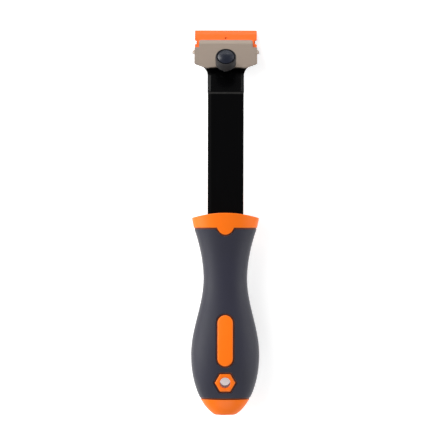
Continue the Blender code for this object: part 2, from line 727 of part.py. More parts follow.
def main():
    clear_scene()
    parts = new_collection("long_handled_scraper")
    cutters = new_collection("cutters")
    tool = bpy.data.objects.new("tool_frame", None)
    head = bpy.data.objects.new("head_frame", None)
    parts.objects.link(tool)
    parts.objects.link(head)
    head.parent = tool
    head.location.y = SHAFT_EXPOSED + BEND_RADIUS * math.sin(BEND_ANGLE)
    head.location.z = -BEND_RADIUS * (1 - math.cos(BEND_ANGLE))
    head.rotation_euler.x = -BEND_ANGLE
    bpy.context.view_layer.update()

    looks = {name: finish(name) for name in FINISHES}
    dress(make_shaft_bar(tool, head, parts, cutters), looks["black_steel"])
    dress(make_handle_core(tool, parts, cutters), looks["orange_plastic"])
    dress(make_grip_sleeve(tool, parts, cutters), looks["grey_rubber"])
    for name, spot in zip(("stop_rivet_left", "stop_rivet_right"), rivet_places()):
        dress(make_stop_rivet(name, spot, head, parts), looks["bright_steel"])
    dress(make_press_nut(head, parts), looks["bright_steel"])
    dress(make_scraper_blade(head, parts, cutters), looks["blade_plastic"])
    dress(make_clamp_plate(head, parts), looks["plated_steel"])
    dress(make_thrust_washer(head, parts), looks["bright_steel"])
    dress(make_thumb_knob(head, parts, cutters), looks["black_plastic"])
    dress(make_knob_screw(head, parts, cutters), looks["black_steel"])
    dress(make_knob_cap(head, parts), looks["black_plastic"])

    lay_down(tool, [item for item in parts.objects if item.type == "MESH"])


main()
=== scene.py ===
"""Looks of a long-handled scraper: each piece modelled finely round its CAD frame, with its real finish.

The handle and the bar are modelled in the tool's own placement, with +Y from the butt towards the blade and
+Z out of the face that carries the knob. Its origin is the crown of the collar, at the middle of the bar's
thickness. The head's pieces are modelled in the head's placement, with its origin on the screw's axis at the
foot of the knob, +Y along the head and +Z up the knob.
"""

import json
import math

import bmesh
import bpy
from bpy.props import FloatProperty, FloatVectorProperty, PointerProperty
from bpy.types import Operator, Panel, PropertyGroup
from mathutils import Matrix, Vector


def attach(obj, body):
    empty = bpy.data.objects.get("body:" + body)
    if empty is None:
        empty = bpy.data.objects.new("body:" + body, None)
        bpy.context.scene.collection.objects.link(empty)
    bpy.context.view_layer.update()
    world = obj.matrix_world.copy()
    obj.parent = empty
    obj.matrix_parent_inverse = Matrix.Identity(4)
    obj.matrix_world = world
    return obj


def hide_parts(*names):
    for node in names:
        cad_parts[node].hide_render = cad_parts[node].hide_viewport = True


bl_info = {
    "name": "Long-handled scraper",
    "version": (1, 0, 0),
    "blender": (4, 5, 0),
    "location": "View3D > Sidebar > Scraper",
    "description": "Models the looks of a long-handled scraper round its CAD frame",
    "category": "Object",
}

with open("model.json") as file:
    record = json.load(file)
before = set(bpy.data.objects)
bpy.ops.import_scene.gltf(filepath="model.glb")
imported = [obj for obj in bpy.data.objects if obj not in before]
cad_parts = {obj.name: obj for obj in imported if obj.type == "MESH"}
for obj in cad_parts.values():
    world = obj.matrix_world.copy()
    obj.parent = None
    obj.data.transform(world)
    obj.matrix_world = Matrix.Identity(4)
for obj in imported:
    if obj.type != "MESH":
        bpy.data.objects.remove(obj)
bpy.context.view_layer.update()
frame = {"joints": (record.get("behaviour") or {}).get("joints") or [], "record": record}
JOINTS = {joint["name"]: joint for joint in frame["joints"]}
MOUNTS = {mount["name"]: mount for mount in frame["record"]["mounts"]}

MM = 0.001
# Direction in which the tool and its head are folded, from the butt towards the blade
AHEAD = Vector((0.0, 1.0, 0.0))

# Width that stands for a step in an outline, so that no face of a strip is without area
STEP = 0.02 * MM
# Least part of its normal along Z that a broad face of the bar has
BROAD_FACE = 0.9

# Columns of points round the handle, and how much closer together they are at its front and its back
COLUMNS = 192
CROWDING = 0.22
# Power with which the groove fades towards the handle's sides
GROOVE_FADE = 4
# Rings over the collar's arched top and down its wall, as parts of the way
CROWN_SHARES = (0.03, 0.2, 0.4, 0.6, 0.76, 0.88)
COLLAR_SHARES = (0.2, 0.4, 0.6, 0.8)
# Rings over the grip's front end and over the butt
GRIP_FRONT_STEPS = 8
BUTT_STEPS = 14
# Distances between the rings of the grip, of its lining and of the core under it
GRIP_PITCH = 1.3 * MM
LINING_PITCH = 8 * MM
CORE_PITCH = 4 * MM
# Play between the core's step and the grip over it, as a part of the groove's width
STEP_PLAY = 0.3
# Distances between the points along the slot pad's sides and between the rings on its top
SLOT_PITCH = 2 * MM
PAD_PITCH = 1 * MM
# Rings between the bezel's edge and the hang hole's, as parts of the way
BEZEL_SHARES = (0.33, 0.67)
# Least rounding of the hexagon's corners where its sides are moved inwards
LEAST_CORNER = 0.05 * MM

# Rows of points across the bends of the bar, of the plate's lip and of its ears
BEND_ROWS = 12
LIP_ROWS = 4
EAR_ROWS = 6
# Points round the turned pieces and the round holes, and rings over the cap's dome
KNOB_STEPS = 96
WASHER_STEPS = 72
NUT_STEPS = 72
SCREW_STEPS = 48
RIVET_STEPS = 48
HOLE_STEPS = 48
DOME_STEPS = 12
# Rings in one pitch of the screw's thread, and how steep its flanks are
THREAD_RINGS = 10
THREAD_FLANK = 2.4
# Radius of a hexagon's chamfered end, halfway up the chamfer and at the end, as parts of its flats
CHAMFER_MIDDLE = 0.54
CHAMFER_END = 0.48

# Scale of the broad patches on moulded surfaces, and their part in how the sheen varies
PATCH_SCALE = 45.0
PATCH_SHEEN = 0.5
# Scratches and patches of a drawn metal, as parts of the streaks' density
SCRATCH_DENSITY = 0.31
PATCH_DENSITY = 0.02
# Parts of the streaks, the patches and the scratches in a drawn metal's colour
STREAK_PART = 0.6
PATCH_PART = 0.4
SCRATCH_PART = 0.35
# How far the roughness goes below and above its middle, and the strength of the bump
MOULDED_SPREAD = (0.07, 0.06)
MOULDED_BUMP = 0.6
DRAWN_SPREAD = (0.1, 0.1)
DRAWN_BUMP = 0.5

# Photograph's width and its focal length, both in its pixels, and the sensor that stands for the width
PHOTO_WIDTH = 448
PHOTO_FOCAL = 2520
SENSOR_MM = 36.0
# How far the camera sees
CLIP_END = 20.0
# Floor's side, and how far it lies under the tool
FLOOR_SIDE = 6.0
FLOOR_DROP = 0.2 * MM
# Point on the tool that most of the softboxes face
TOOL_MIDDLE = (0.0, 0.0, 0.02)
# Place, width and height of each softbox, by the name of its strength in the stage's settings
TOOL_SOFTBOXES = {
    "key": ((-0.9, 0.0, 0.3), 0.6, 0.8),
    "fill": ((0.9, 0.0, 0.3), 0.5, 0.8),
    "top": ((-0.6, 0.3, 1.0), 0.5, 0.5),
    "tail": ((0.0, -0.9, 0.6), 0.8, 0.4),
}
# The same for those that face the head
HEAD_SOFTBOXES = {
    "head": ((-0.5, 0.9, 0.34), 0.24, 0.5),
    "strip": ((0.58, 0.9, 0.34), 0.1, 0.34),
    "low": ((0.0, 1.1, 0.09), 0.7, 0.12),
}


def length(name, description, millimetres):
    """Length whose default is given in millimetres."""
    return FloatProperty(
        name=name, description=description, default=millimetres * MM, subtype="DISTANCE", unit="LENGTH")


def section(name, description, width, depth):
    """Two sizes of one form, with defaults in millimetres."""
    return FloatVectorProperty(
        name=name, description=description, size=2, default=(width * MM, depth * MM), unit="LENGTH")


def colour(name, description, red, green, blue):
    """Linear colour of a finish."""
    return FloatVectorProperty(
        name=name, description=description, size=3, default=(red, green, blue), min=0, max=1, subtype="COLOR")


def turn(name, description, degrees):
    """Angle whose default is given in degrees."""
    return FloatProperty(
        name=name, description=description, default=math.radians(degrees), subtype="ANGLE", unit="ROTATION")


def share(name, description, default):
    """Plain number."""
    return FloatProperty(name=name, description=description, default=default)


class HandleSizes(PropertyGroup):
    """Handle, measured from the crown of its collar towards the butt"""

    total: length("Length", "Crown of the collar to the end of the butt", 123.9)
    crown_rise: length("Crown rise", "Height of the collar's arched top", 3.1)
    collar_end: length("Collar end", "Where the collar meets the soft grip", 9.0)
    waist_at: length("Waist", "Where the grip is slimmest", 40.0)
    belly_at: length("Belly", "Where the grip is fullest", 87.3)
    butt_start: length("Butt start", "Where the soft grip meets the butt", 114.05)
    shoulder: section("Shoulder", "Width and depth at the top of the collar", 41.4, 29.0)
    collar: section("Collar", "Width and depth at the end of the collar", 38.9, 27.0)
    waist: section("Waist section", "Width and depth at the waist", 26.8, 22.6)
    belly: section("Belly section", "Width and depth at the belly", 41.9, 30.6)
    butt: section("Butt section", "Width and depth at the end of the butt", 12.0, 9.0)
    flare_power: share("Flare", "How late the waist flares out to the collar", 1.82)
    fullness: share("Fullness", "Power of the rounded section, where 2 is an ellipse", 2.2)
    wall: length("Grip wall", "Thickness of the soft grip", 2.2)
    groove: length("Groove", "Width of the groove between the soft grip and the hard core", 1.0)
    groove_depth: length("Groove depth", "Depth of that groove at the front and the back", 1.1)
    side_groove: length("Side groove", "Depth of that groove at the sides of the handle", 0.3)
    # Painted shade in the groove round the grip: the part of the groove's depth at which it is darkest.
    seam_shade_depth: share("Seam depth", "Part of the groove's depth at which its colour is darkest", 0.6)
    lap: length("Lap", "How far the core's step reaches under the grip", 1.2)
    edge: length("Edge", "Rounding where grip and core meet", 0.22)
    rim: length("Rim", "Rounding of the collar's top edge", 0.5)
    butt_edge: length("Butt edge", "Rounding of the butt's end", 1.1)
    tab_radius: length("Tab radius", "Radius of the collar's round tab", 5.2)
    tab_reach: length("Tab reach", "How far the tab reaches into the grip", 4.3)
    tab_shoulder: length("Tab shoulder", "Softness where the tab leaves the collar", 0.35)
    slot: section("Slot pad", "Width and length of the slot pad", 9.4, 31.1)
    slot_at: length("Slot pad place", "Middle of the slot pad", 77.9)
    bezel_flats: length("Bezel", "Hexagon round the hang hole, across its flats", 10.8)
    bezel_at: length("Bezel place", "Middle of the hang hole", 103.5)
    bezel_corner: length("Bezel corner", "Rounding of the hexagon's corners", 0.5)
    hang_radius: length("Hang hole", "Radius of the hang hole", 3.2)
    pad_proud: length("Pad rise", "How far the pads stand above the grip", 0.3)
    pad_edge: length("Pad edge", "Rounding of the pads' edges", 0.7)
    hole_edge: length("Hole edge", "Rounding of the hang hole's edge", 0.6)
    flare_edge: length("Window edge", "Rounding of the grip's windows", 0.45)
    window_gap: length("Window gap", "Clearance between a pad's ledge and its window", 0.05)


class BarSizes(PropertyGroup):
    """Flat steel bar, from the tang in the handle to the seat under the blade"""

    thickness: length("Thickness", "Thickness of the bar", 2.5)
    ease_width: length("Eased edge", "Width of the slope along the edges", 2.0)
    ease_depth: length("Eased depth", "Drop of the slope along the edges", 0.7)
    corner: length("Corner", "Rounding of the bar's corners", 0.12)
    corner_turn: turn("Corner turn", "Least turn between two faces whose edge is rounded", 11.0)
    collar_gap: length("Collar gap", "Clearance between the bar and its slot in the collar", 0.1)
    # Painted highlight along the bend's ridge: its width to each side, and where on the bend's turn it is
    # brightest.
    highlight_width: length("Wear", "How far the coating is rubbed thin to each side of the bend's ridge", 0.75)
    highlight_at: share("Wear place", "Part of the bend's turn at which its ridge is rubbed most", 0.41)
    tang_width: length("Tang width", "Width of the tang", 12.0)
    tang_length: length("Tang length", "Crown of the collar to the tang's tip", 82.0)
    tang_shoulder: length("Tang shoulder", "Crown of the collar to the tang's shoulder", 14.0)
    shaft_width: length("Shaft width", "Width of the shaft", 22.0)
    shaft_exposed: length("Shaft", "Crown of the collar to the bend", 72.3)
    bend_radius: length("Bend radius", "Radius of the bend, at mid thickness", 4.5)
    bend_angle: turn("Bend", "How far the head is bent back", 34.2)
    neck_width: length("Neck width", "Width between bend and seat", 22.4)
    neck_length: length("Neck", "Bend to the start of the seat's fillet", 12.3)
    neck_fillet: length("Neck fillet", "Fillet from the neck to the seat", 9.5)
    seat_corner: length("Seat corner", "Rounding of the seat's rear corners", 2.4)
    nose_margin: length("Nose", "How far the seat's nose stands out past the lip's sides", 1.6)
    nose_past_centre: length("Nose reach", "How far the seat's nose reaches past the blade's middle", 4.9)


class HeadSizes(PropertyGroup):
    """Blade, clamp plate, knob and fasteners"""

    blade: section("Blade", "Width and height of the blade", 38.5, 19.0)
    blade_thickness: length("Blade thickness", "Thickness of the blade", 1.3)
    blade_bevel: length("Blade bevel", "Height of the blade's sloped edges", 3.6)
    blade_tip: length("Blade tip", "Thickness of the blade's edges", 0.2)
    blade_edge: length("Blade edge", "Rounding of the blade's corners", 0.06)
    blade_turn: turn("Blade turn", "Least turn between two faces of the blade whose edge is rounded", 8.0)
    notch_depth: length("Notch depth", "Depth of the notch in each end", 1.5)
    notch_mouth: length("Notch mouth", "Width of the notch at the blade's end", 4.4)
    notch_floor: length("Notch floor", "Width of the notch at its bottom", 2.4)
    pinhole_radius: length("Pinhole", "Radius of the blade's pinholes", 0.65)
    pinhole_offset: length("Pinhole place", "Middle of the blade to a pinhole", 3.1)
    screw_at: length("Screw place", "End of the bend to the screw's axis", 16.9)
    screw_to_blade: length("Blade place", "Screw's axis to the rear edge of the blade", 9.9)
    gap: length("Gap", "Clearance between neighbouring pieces", 0.3)
    sheet: length("Plate thickness", "Thickness of the clamp plate", 1.0)
    lip_length: length("Lip", "Length of the plate's lip", 3.4)
    lip_angle: turn("Lip angle", "How far the lip is bent down", 10.0)
    lip_bend: length("Lip bend", "Radius of the lip's bend", 2.0)
    lip_past_centre: length("Lip reach", "How far the lip reaches past the blade's middle", 0.4)
    lip_inset: length("Lip inset", "Blade's end in to the lip's side", 2.6)
    lip_corner: length("Lip corner", "Rounding of the lip's corners", 1.5)
    shoulder_back: length("Plate shoulder", "Blade's middle back to the plate's shoulders", 5.7)
    shoulder_corner: length("Shoulder corner", "Rounding of the plate's shoulders", 0.8)
    heel_back: length("Heel", "Screw's axis back to the plate's heel", 1.9)
    heel_width: length("Heel width", "Straight width of the heel", 24.4)
    heel_rise: length("Heel rise", "Rise of the heel's slopes", 2.6)
    heel_corner: length("Heel corner", "Rounding of the heel's outer corners", 1.6)
    tongue_radius: length("Tongue", "Radius of the plate's tongue under the knob", 3.9)
    ear_clearance: length("Ear clearance", "Gap between blade and ear", 0.45)
    ear_root: length("Ear root", "Length of each ear where it leaves the plate", 2.8)
    ear_tip: length("Ear tip", "Length of each ear at its end", 1.2)
    ear_drop: length("Ear drop", "Straight drop of each ear", 0.2)
    ear_bend: length("Ear bend", "Radius of the ears' bend", 0.8)
    ear_ahead: length("Ear place", "Blade's rear edge to the ears' middle", 0.3)
    plate_edge: length("Plate edge", "Rounding of the plate's sheared edges", 0.16)
    plate_turn: turn("Plate turn", "Least turn between two faces of the plate whose edge is rounded", 40.0)
    washer_radius: length("Washer", "Radius of the washer", 4.4)
    washer_thickness: length("Washer thickness", "Thickness of the washer", 1.0)
    washer_edge: length("Washer edge", "Rounding of the washer's rim", 0.2)
    screw_radius: length("Screw", "Radius of the screw", 2.5)
    screw_pitch: length("Pitch", "Pitch of the screw's thread", 0.8)
    thread_depth: length("Thread depth", "Depth of the screw's thread", 0.42)
    screw_end: length("Screw end", "How far the screw stands out of its nut", 0.8)
    screw_flats: length("Screw head", "Screw's hexagon head across its flats", 7.0)
    screw_head: length("Screw head height", "Height of the screw's head", 2.8)
    nut_flats: length("Nut", "Nut across its flats", 8.0)
    nut_height: length("Nut height", "Height of the nut", 4.0)
    rivet_spacing: length("Rivet spacing", "Distance between the stop rivets", 22.0)
    rivet_radius: length("Rivet head", "Radius of a rivet's head", 2.0)
    rivet_shank: length("Rivet shank", "Radius of a rivet's shank", 1.2)
    rivet_tail: length("Rivet tail", "Radius of a rivet's formed tail", 1.9)
    rivet_tail_height: length("Rivet tail height", "Height of a rivet's formed tail", 0.8)
    rivet_tip: length("Rivet tip", "Radius of the flat end of a rivet's tail", 1.14)
    rivet_edge: length("Rivet edge", "Rounding of a rivet's head", 0.2)
    rivet_tip_edge: length("Rivet tip edge", "Rounding of the end of a rivet's tail", 0.35)
    knob_foot: length("Knob foot", "Radius at the foot of the knob", 6.35)
    knob_top: length("Knob top", "Radius at the top of the knob", 6.4)
    knob_height: length("Knob height", "Height of the knob's wall", 6.5)
    knob_straight: length("Knob band", "Height of the straight band at the knob's top", 2.6)
    knob_edge: length("Knob edge", "Rounding of the knob's rim", 0.55)
    knob_fine_edge: length("Knob fine edge", "Rounding at the knob's foot and at its cap's recess", 0.12)
    knob_band_edge: length("Knob band edge", "Rounding where the straight band begins", 0.5)
    knob_floor: length("Knob floor", "Thickness of the knob under the screw's head", 1.5)
    cap_radius: length("Cap", "Radius of the knob's cap", 5.1)
    cap_dome: length("Cap dome", "Rise of the knob's cap", 0.9)
    cap_edge: length("Cap edge", "Rounding of the cap's rim", 0.15)
    cap_moat: length("Cap moat", "Width of the dark gap round the cap", 0.65)


class FinishColours(PropertyGroup):
    """Colours of the finishes"""

    orange: colour("Orange plastic", "Hard core of the handle", 0.93, 0.168, 0.003)
    # Painted shade: the colour that the core is darkened towards down in the groove round the grip, where
    # shade falls.
    seam: colour("Seam", "Dirt on the core in the seams round the grip", 0.15, 0.04, 0.018)
    blade: colour("Blade plastic", "Blade", 0.92, 0.122, 0.004)
    grip: colour("Grip rubber", "Soft grip", 0.0065, 0.0065, 0.0175)
    knob: colour("Knob plastic", "Knob", 0.03, 0.0285, 0.029)
    # Painted shade: the cap is the knob's black plastic made darker and bluer, for the dark reflection on its
    # dome.
    cap: colour("Cap plastic", "Knob's cap", 0.003, 0.005, 0.013)
    coating: colour("Black coating", "Bar", 0.0009, 0.0009, 0.0011)
    # Painted highlight: the lighter colour laid along the bend's ridge, where a lamp would glint.
    bend_highlight: colour("Worn coating", "Coating rubbed thin along the bend", 0.06, 0.058, 0.056)
    plating: colour("Warm plating", "Clamp plate", 0.203, 0.166, 0.137)
    # Screw's colour: a blackened finish, and painted shade for the deep shade under the knob.
    screw: colour("Blackened steel", "Screw", 0.006, 0.006, 0.0065)
    zinc: colour("Zinc", "Nut, washer and rivets", 0.56, 0.57, 0.59)
    floor: colour("Floor", "Plain pale floor", 0.86, 0.86, 0.86)


class StageSizes(PropertyGroup):
    """Camera and light"""

    distance: length("Camera distance", "Bar to the camera", 1547.6)
    aim_along: length("Aim along", "Where the camera looks, along the tool from the collar's crown", -6.77)
    aim_across: length("Aim across", "Where the camera looks, across the tool", -0.9)
    roll: turn("Roll", "How far the camera is turned about its line of sight", 0.13)
    key: share("Key light", "Strength of the softbox on the left", 6.2)
    fill: share("Fill light", "Strength of the softbox on the right", 4.0)
    top: share("Top light", "Strength of the softbox overhead", 4.0)
    head: share("Head light", "Strength of the softbox past the blade, which shows on the knob's cap", 16.0)
    strip: share("Strip light", "Strength of the narrow softbox across from it", 22.0)
    low: share("Low light", "Strength of the low softbox past the blade, which shows on the plate's lip", 5.0)
    tail: share("Tail light", "Strength of the softbox past the butt", 3.3)
    ambient: share("Ambient", "Strength of the light from all round", 0.2)
    floor_glow: share("Floor glow", "Brightness that the camera sees in the floor's deepest shade", 0.48)


def placement(origin, forward, up):
    """Placement whose +Y is forward and whose +Z is up."""
    along = Vector(forward).normalized()
    out = Vector(up).normalized()
    matrix = Matrix((along.cross(out), along, out)).transposed().to_4x4()
    matrix.translation = origin
    return matrix


def tool_placement(handle):
    """Tool's placement, from the flat of the butt and the axis of the hang hole."""
    butt = MOUNTS["butt_face"]
    forward = -Vector(butt["axis"])
    return placement(Vector(butt["pos_m"]) + forward * handle.total, forward, MOUNTS["hang_hole"]["axis"])


def head_placement():
    """Head's placement, from the knob's joint and the way that the blade slides out."""
    knob = JOINTS["knob_turn"]
    return placement(Vector(knob["pos_m"]), JOINTS["blade_slide"]["axis"], knob["axis"])


def head_levels(head, bar):
    """Heights of the head's faces over the knob's foot: of the stack of pieces under it, and inside it."""
    levels = {"washer_top": -head.gap}
    levels["washer_foot"] = levels["washer_top"] - head.washer_thickness
    levels["plate_top"] = levels["washer_foot"] - head.gap
    levels["plate_middle"] = levels["plate_top"] - head.sheet / 2
    lip_drop = head.lip_length * math.sin(head.lip_angle)
    levels["blade_top"] = levels["plate_top"] - head.sheet - lip_drop - head.gap
    levels["blade_middle"] = levels["blade_top"] - head.blade_thickness / 2
    levels["seat"] = levels["blade_top"] - head.blade_thickness - head.gap
    levels["seat_back"] = levels["seat"] - bar.thickness
    levels["nut_top"] = levels["seat_back"] - head.gap
    levels["nut_foot"] = levels["nut_top"] - head.nut_height
    levels["screw_end"] = levels["nut_foot"] - head.screw_end
    levels["head_foot"] = head.knob_floor + head.gap
    levels["head_top"] = levels["head_foot"] + head.screw_head
    levels["pocket_top"] = levels["head_top"] + head.gap
    return levels


def arc(centre, radius, start, end, steps):
    """Points on a circle from one angle to another, in degrees."""
    points = []
    for step in range(steps + 1):
        angle = math.radians(start + (end - start) * step / steps)
        points.append((centre[0] + radius * math.cos(angle), centre[1] + radius * math.sin(angle)))
    return points


def to_object_mode():
    """Leave edit mode and select nothing."""
    if bpy.context.object and bpy.context.object.mode != "OBJECT":
        bpy.ops.object.mode_set(mode="OBJECT")
    bpy.ops.object.select_all(action="DESELECT")


def pick(piece):
    """Select one piece and make it the active one."""
    to_object_mode()
    piece.select_set(True)
    bpy.context.view_layer.objects.active = piece


def apply_modifier(piece, kind, **settings):
    """Add a modifier with its settings and apply it."""
    pick(piece)
    step = piece.modifiers.new(kind.lower(), kind)
    for name, value in settings.items():
        setattr(step, name, value)
    bpy.ops.object.modifier_apply(modifier=step.name)


def cut(piece, tool, operation="DIFFERENCE"):
    """Boolean of a piece with a tool solid, which is used up."""
    apply_modifier(piece, "BOOLEAN", operation=operation, object=tool, solver="EXACT")
    mesh = tool.data
    bpy.data.objects.remove(tool, do_unlink=True)
    bpy.data.meshes.remove(mesh)


def next_in_row(vert):
    """Index of the newly extruded vertex beside an old one."""
    return next(edge.other_vert(vert).index for edge in vert.link_edges if edge.other_vert(vert).select)


def loop_edges(shape, loop):
    """Edges along a closed loop of vertices, which is given by their indices."""
    pairs = zip(loop, loop[1:] + loop[:1])
    return [shape.edges.get((shape.verts[first], shape.verts[second])) for first, second in pairs]


def select_loops(piece, *loops):
    """Select the edges of some closed loops of vertices in edit mode, and nothing else."""
    shape = bmesh.from_edit_mesh(piece.data)
    shape.verts.ensure_lookup_table()
    for item in [*shape.faces, *shape.edges, *shape.verts]:
        item.select = False
    for loop in loops:
        for edge in loop_edges(shape, loop):
            edge.select = True
    shape.select_flush_mode()
    bmesh.update_edit_mesh(piece.data)


def round_loops(piece, loops, edges):
    """Round the edges along some loops, each by its own width."""
    widest = max(edges.values())
    shape = bmesh.new()
    shape.from_mesh(piece.data)
    shape.verts.ensure_lookup_table()
    weight = shape.edges.layers.float.new("bevel_weight_edge")
    for number, width in edges.items():
        for edge in loop_edges(shape, loops[number]):
            edge[weight] = width / widest
    shape.to_mesh(piece.data)
    shape.free()
    apply_modifier(piece, "BEVEL", limit_method="WEIGHT", width=widest, segments=4, use_clamp_overlap=False)


def round_corners(piece, width, least_turn, segments):
    """Round the edges at which a piece's faces turn by more than an angle."""
    apply_modifier(
        piece, "BEVEL", limit_method="ANGLE", width=width, segments=segments, angle_limit=least_turn)


def loft(name, rings, closed=False, edges=None):
    """Extrude a circle's loop from ring to ring; edges gives the rounding of some rings by their number."""
    to_object_mode()
    bpy.ops.mesh.primitive_circle_add(vertices=len(rings[0]), radius=Vector(rings[0][0]).length)
    piece = bpy.context.object
    piece.name = name
    bpy.ops.object.mode_set(mode="EDIT")
    bpy.ops.mesh.select_mode(type="VERT")
    loops = [list(range(len(rings[0])))]
    for number, ring in enumerate(rings):
        if number:
            bpy.ops.mesh.extrude_region_move()
        shape = bmesh.from_edit_mesh(piece.data)
        shape.verts.index_update()
        shape.verts.ensure_lookup_table()
        if number:
            loops.append([next_in_row(shape.verts[index]) for index in loops[-1]])
        for index, point in zip(loops[-1], ring):
            shape.verts[index].co = point
        bmesh.update_edit_mesh(piece.data)
    if closed:
        select_loops(piece, loops[0], loops[-1])
        bpy.ops.mesh.bridge_edge_loops()
    else:
        for loop in (loops[0], loops[-1]):
            select_loops(piece, loop)
            bpy.ops.mesh.edge_face_add()
    bpy.ops.mesh.select_all(action="SELECT")
    bpy.ops.mesh.normals_make_consistent(inside=False)
    bpy.ops.object.mode_set(mode="OBJECT")
    if edges:
        round_loops(piece, loops, edges)
    return piece


def turned(name, profile, steps, closed=False, edges=None):
    """Piece turned on a lathe, from (radius, height) points."""
    rings = []
    for radius, height in profile:
        rings.append([(x, y, height) for x, y in arc((0.0, 0.0), radius, 0, 360 - 360 / steps, steps - 1)])
    return loft(name, rings, closed, edges)


def strip(name, rows):
    """Flat strip along Y, extruded from row to row and resized to each row's half width."""
    to_object_mode()
    bpy.ops.mesh.primitive_plane_add(size=2.0)
    piece = bpy.context.object
    piece.name = name
    (half, start), (next_half, following) = rows[:2]
    for vert in piece.data.vertices:
        front = vert.co.y > 0
        vert.co = (math.copysign(next_half if front else half, vert.co.x), following if front else start, 0.0)
    bpy.ops.object.mode_set(mode="EDIT")
    bpy.ops.mesh.select_mode(type="EDGE")
    shape = bmesh.from_edit_mesh(piece.data)
    for edge in shape.edges:
        edge.select = all(abs(vert.co.y - following) < STEP / 4 for vert in edge.verts)
    shape.select_flush_mode()
    bmesh.update_edit_mesh(piece.data)
    for (half, along), (next_half, following) in zip(rows[1:], rows[2:]):
        bpy.ops.mesh.extrude_region_move(TRANSFORM_OT_translate={"value": (0.0, following - along, 0.0)})
        bpy.ops.transform.resize(value=(next_half / half, 1.0, 1.0), center_override=(0.0, following, 0.0))
    bpy.ops.object.mode_set(mode="OBJECT")
    return piece


def copied(piece, name):
    """Copy of a piece, with a mesh of its own."""
    pick(piece)
    bpy.ops.object.duplicate(linked=False)
    copy = bpy.context.object
    copy.name = name
    return copy


def merge_close(piece, reach):
    """Merge the vertices that lie within a reach of each other."""
    pick(piece)
    bpy.ops.object.mode_set(mode="EDIT")
    bpy.ops.mesh.select_all(action="SELECT")
    bpy.ops.mesh.remove_doubles(threshold=reach)
    bpy.ops.object.mode_set(mode="OBJECT")


def rows_in_order(points):
    """Rows of a strip as (half width, place), each a little past the one before."""
    rows = [points[0]]
    for half, along in points[1:]:
        rows.append((half, max(along, rows[-1][1] + STEP)))
    return rows


def slice_across(piece, direction, places):
    """Cut a piece's faces at some places along a direction."""
    pick(piece)
    bpy.ops.object.mode_set(mode="EDIT")
    for place in places:
        bpy.ops.mesh.select_all(action="SELECT")
        bpy.ops.mesh.bisect(plane_co=direction * place, plane_no=direction)
    bpy.ops.object.mode_set(mode="OBJECT")


def fold_down(piece, direction, start, radius, angle):
    """Fold a piece towards -Z past a line, about z = 0, as a press brake does."""
    reach = radius * angle
    for vert in piece.data.vertices:
        run = vert.co.dot(direction) - start
        if run <= 0:
            continue
        turned_by = min(run, reach) / radius
        straight = max(run - reach, 0.0)
        rim = radius + vert.co.z
        ahead = rim * math.sin(turned_by) + straight * math.cos(turned_by)
        drop = radius - rim * math.cos(turned_by) + straight * math.sin(turned_by)
        vert.co += direction * (ahead - run)
        vert.co.z = -drop


def bend_places(start, radius, angle, steps):
    """Places across a bend, from its start to its end."""
    return [start + radius * angle * step / steps for step in range(steps + 1)]


def settle(piece, place, body, finish, nodes, smooth=30):
    """Put a finished piece in its placement, smooth it, dress it and hang it on its body."""
    pick(piece)
    piece.matrix_world = place
    bpy.ops.object.transform_apply(location=True, rotation=True, scale=True)
    bpy.ops.object.shade_smooth_by_angle(angle=math.radians(smooth))
    apply_modifier(piece, "WEIGHTED_NORMAL", keep_sharp=True, weight=80)
    piece.data.materials.clear()
    piece.data.materials.append(finish)
    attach(piece, body)
    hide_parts(*nodes)
    to_object_mode()


def mark(piece, name, rule):
    """Give each vertex a value, worked out from its place, that the finish reads."""
    layer = piece.data.attributes.new(name, "FLOAT", "POINT")
    for vert, item in zip(piece.data.vertices, layer.data):
        item.value = rule(vert.co)


def shift(matrix, x=0.0, y=0.0, z=0.0):
    """Placement moved along its own axes."""
    return matrix @ Matrix.Translation((x, y, z))


def handle_half(handle, along, axis):
    """Half width, axis 0, or half depth, axis 1, of the handle at a distance from the crown."""
    shoulder, collar, waist = (pair[axis] / 2 for pair in (handle.shoulder, handle.collar, handle.waist))
    belly, butt = handle.belly[axis] / 2, handle.butt[axis] / 2
    if along <= handle.collar_end:
        part = (along - handle.crown_rise) / (handle.collar_end - handle.crown_rise)
        return shoulder + (collar - shoulder) * part
    if along <= handle.waist_at:
        part = (handle.waist_at - along) / (handle.waist_at - handle.collar_end)
        return waist + (collar - waist) * part ** handle.flare_power
    if along <= handle.belly_at:
        part = (along - handle.waist_at) / (handle.belly_at - handle.waist_at)
        return waist + (belly - waist) * (1 - math.cos(math.pi * part)) / 2
    stretch = (handle.total - handle.belly_at) / math.sqrt(1 - (butt / belly) ** 2)
    return belly * math.sqrt(1 - ((along - handle.belly_at) / stretch) ** 2)


def handle_surface(handle, x, along):
    """Height of the handle's front over the bar's middle, at a place on it."""
    half_width = handle_half(handle, along, 0)
    part = min(abs(x) / half_width, 1.0)
    return handle_half(handle, along, 1) * (1 - part ** handle.fullness) ** (1 / handle.fullness)


def column_directions(handle):
    """Directions round the handle's section, closer together at the front and the back."""
    directions = []
    power = 2 / handle.fullness
    for column in range(COLUMNS):
        turn_share = column / COLUMNS
        angle = math.tau * turn_share + CROWDING * math.sin(2 * math.tau * turn_share)
        across, out = math.cos(angle), math.sin(angle)
        wide = math.copysign(abs(across) ** power, across)
        deep = math.copysign(abs(out) ** power, out)
        directions.append((wide, deep))
    return directions


def handle_ring(handle, alongs, insets=None):
    """Ring round the handle, each column at its own distance from the crown and its own depth in."""
    ring = []
    for (across, out), along, inset in zip(column_directions(handle), alongs, insets or [0.0] * COLUMNS):
        half_width = handle_half(handle, along, 0) - inset
        half_depth = handle_half(handle, along, 1) - inset
        ring.append((half_width * across, -along, half_depth * out))
    return ring


def level_ring(handle, along, inset=0.0):
    """Ring round the handle at one distance from the crown."""
    return handle_ring(handle, [along] * COLUMNS, [inset] * COLUMNS)


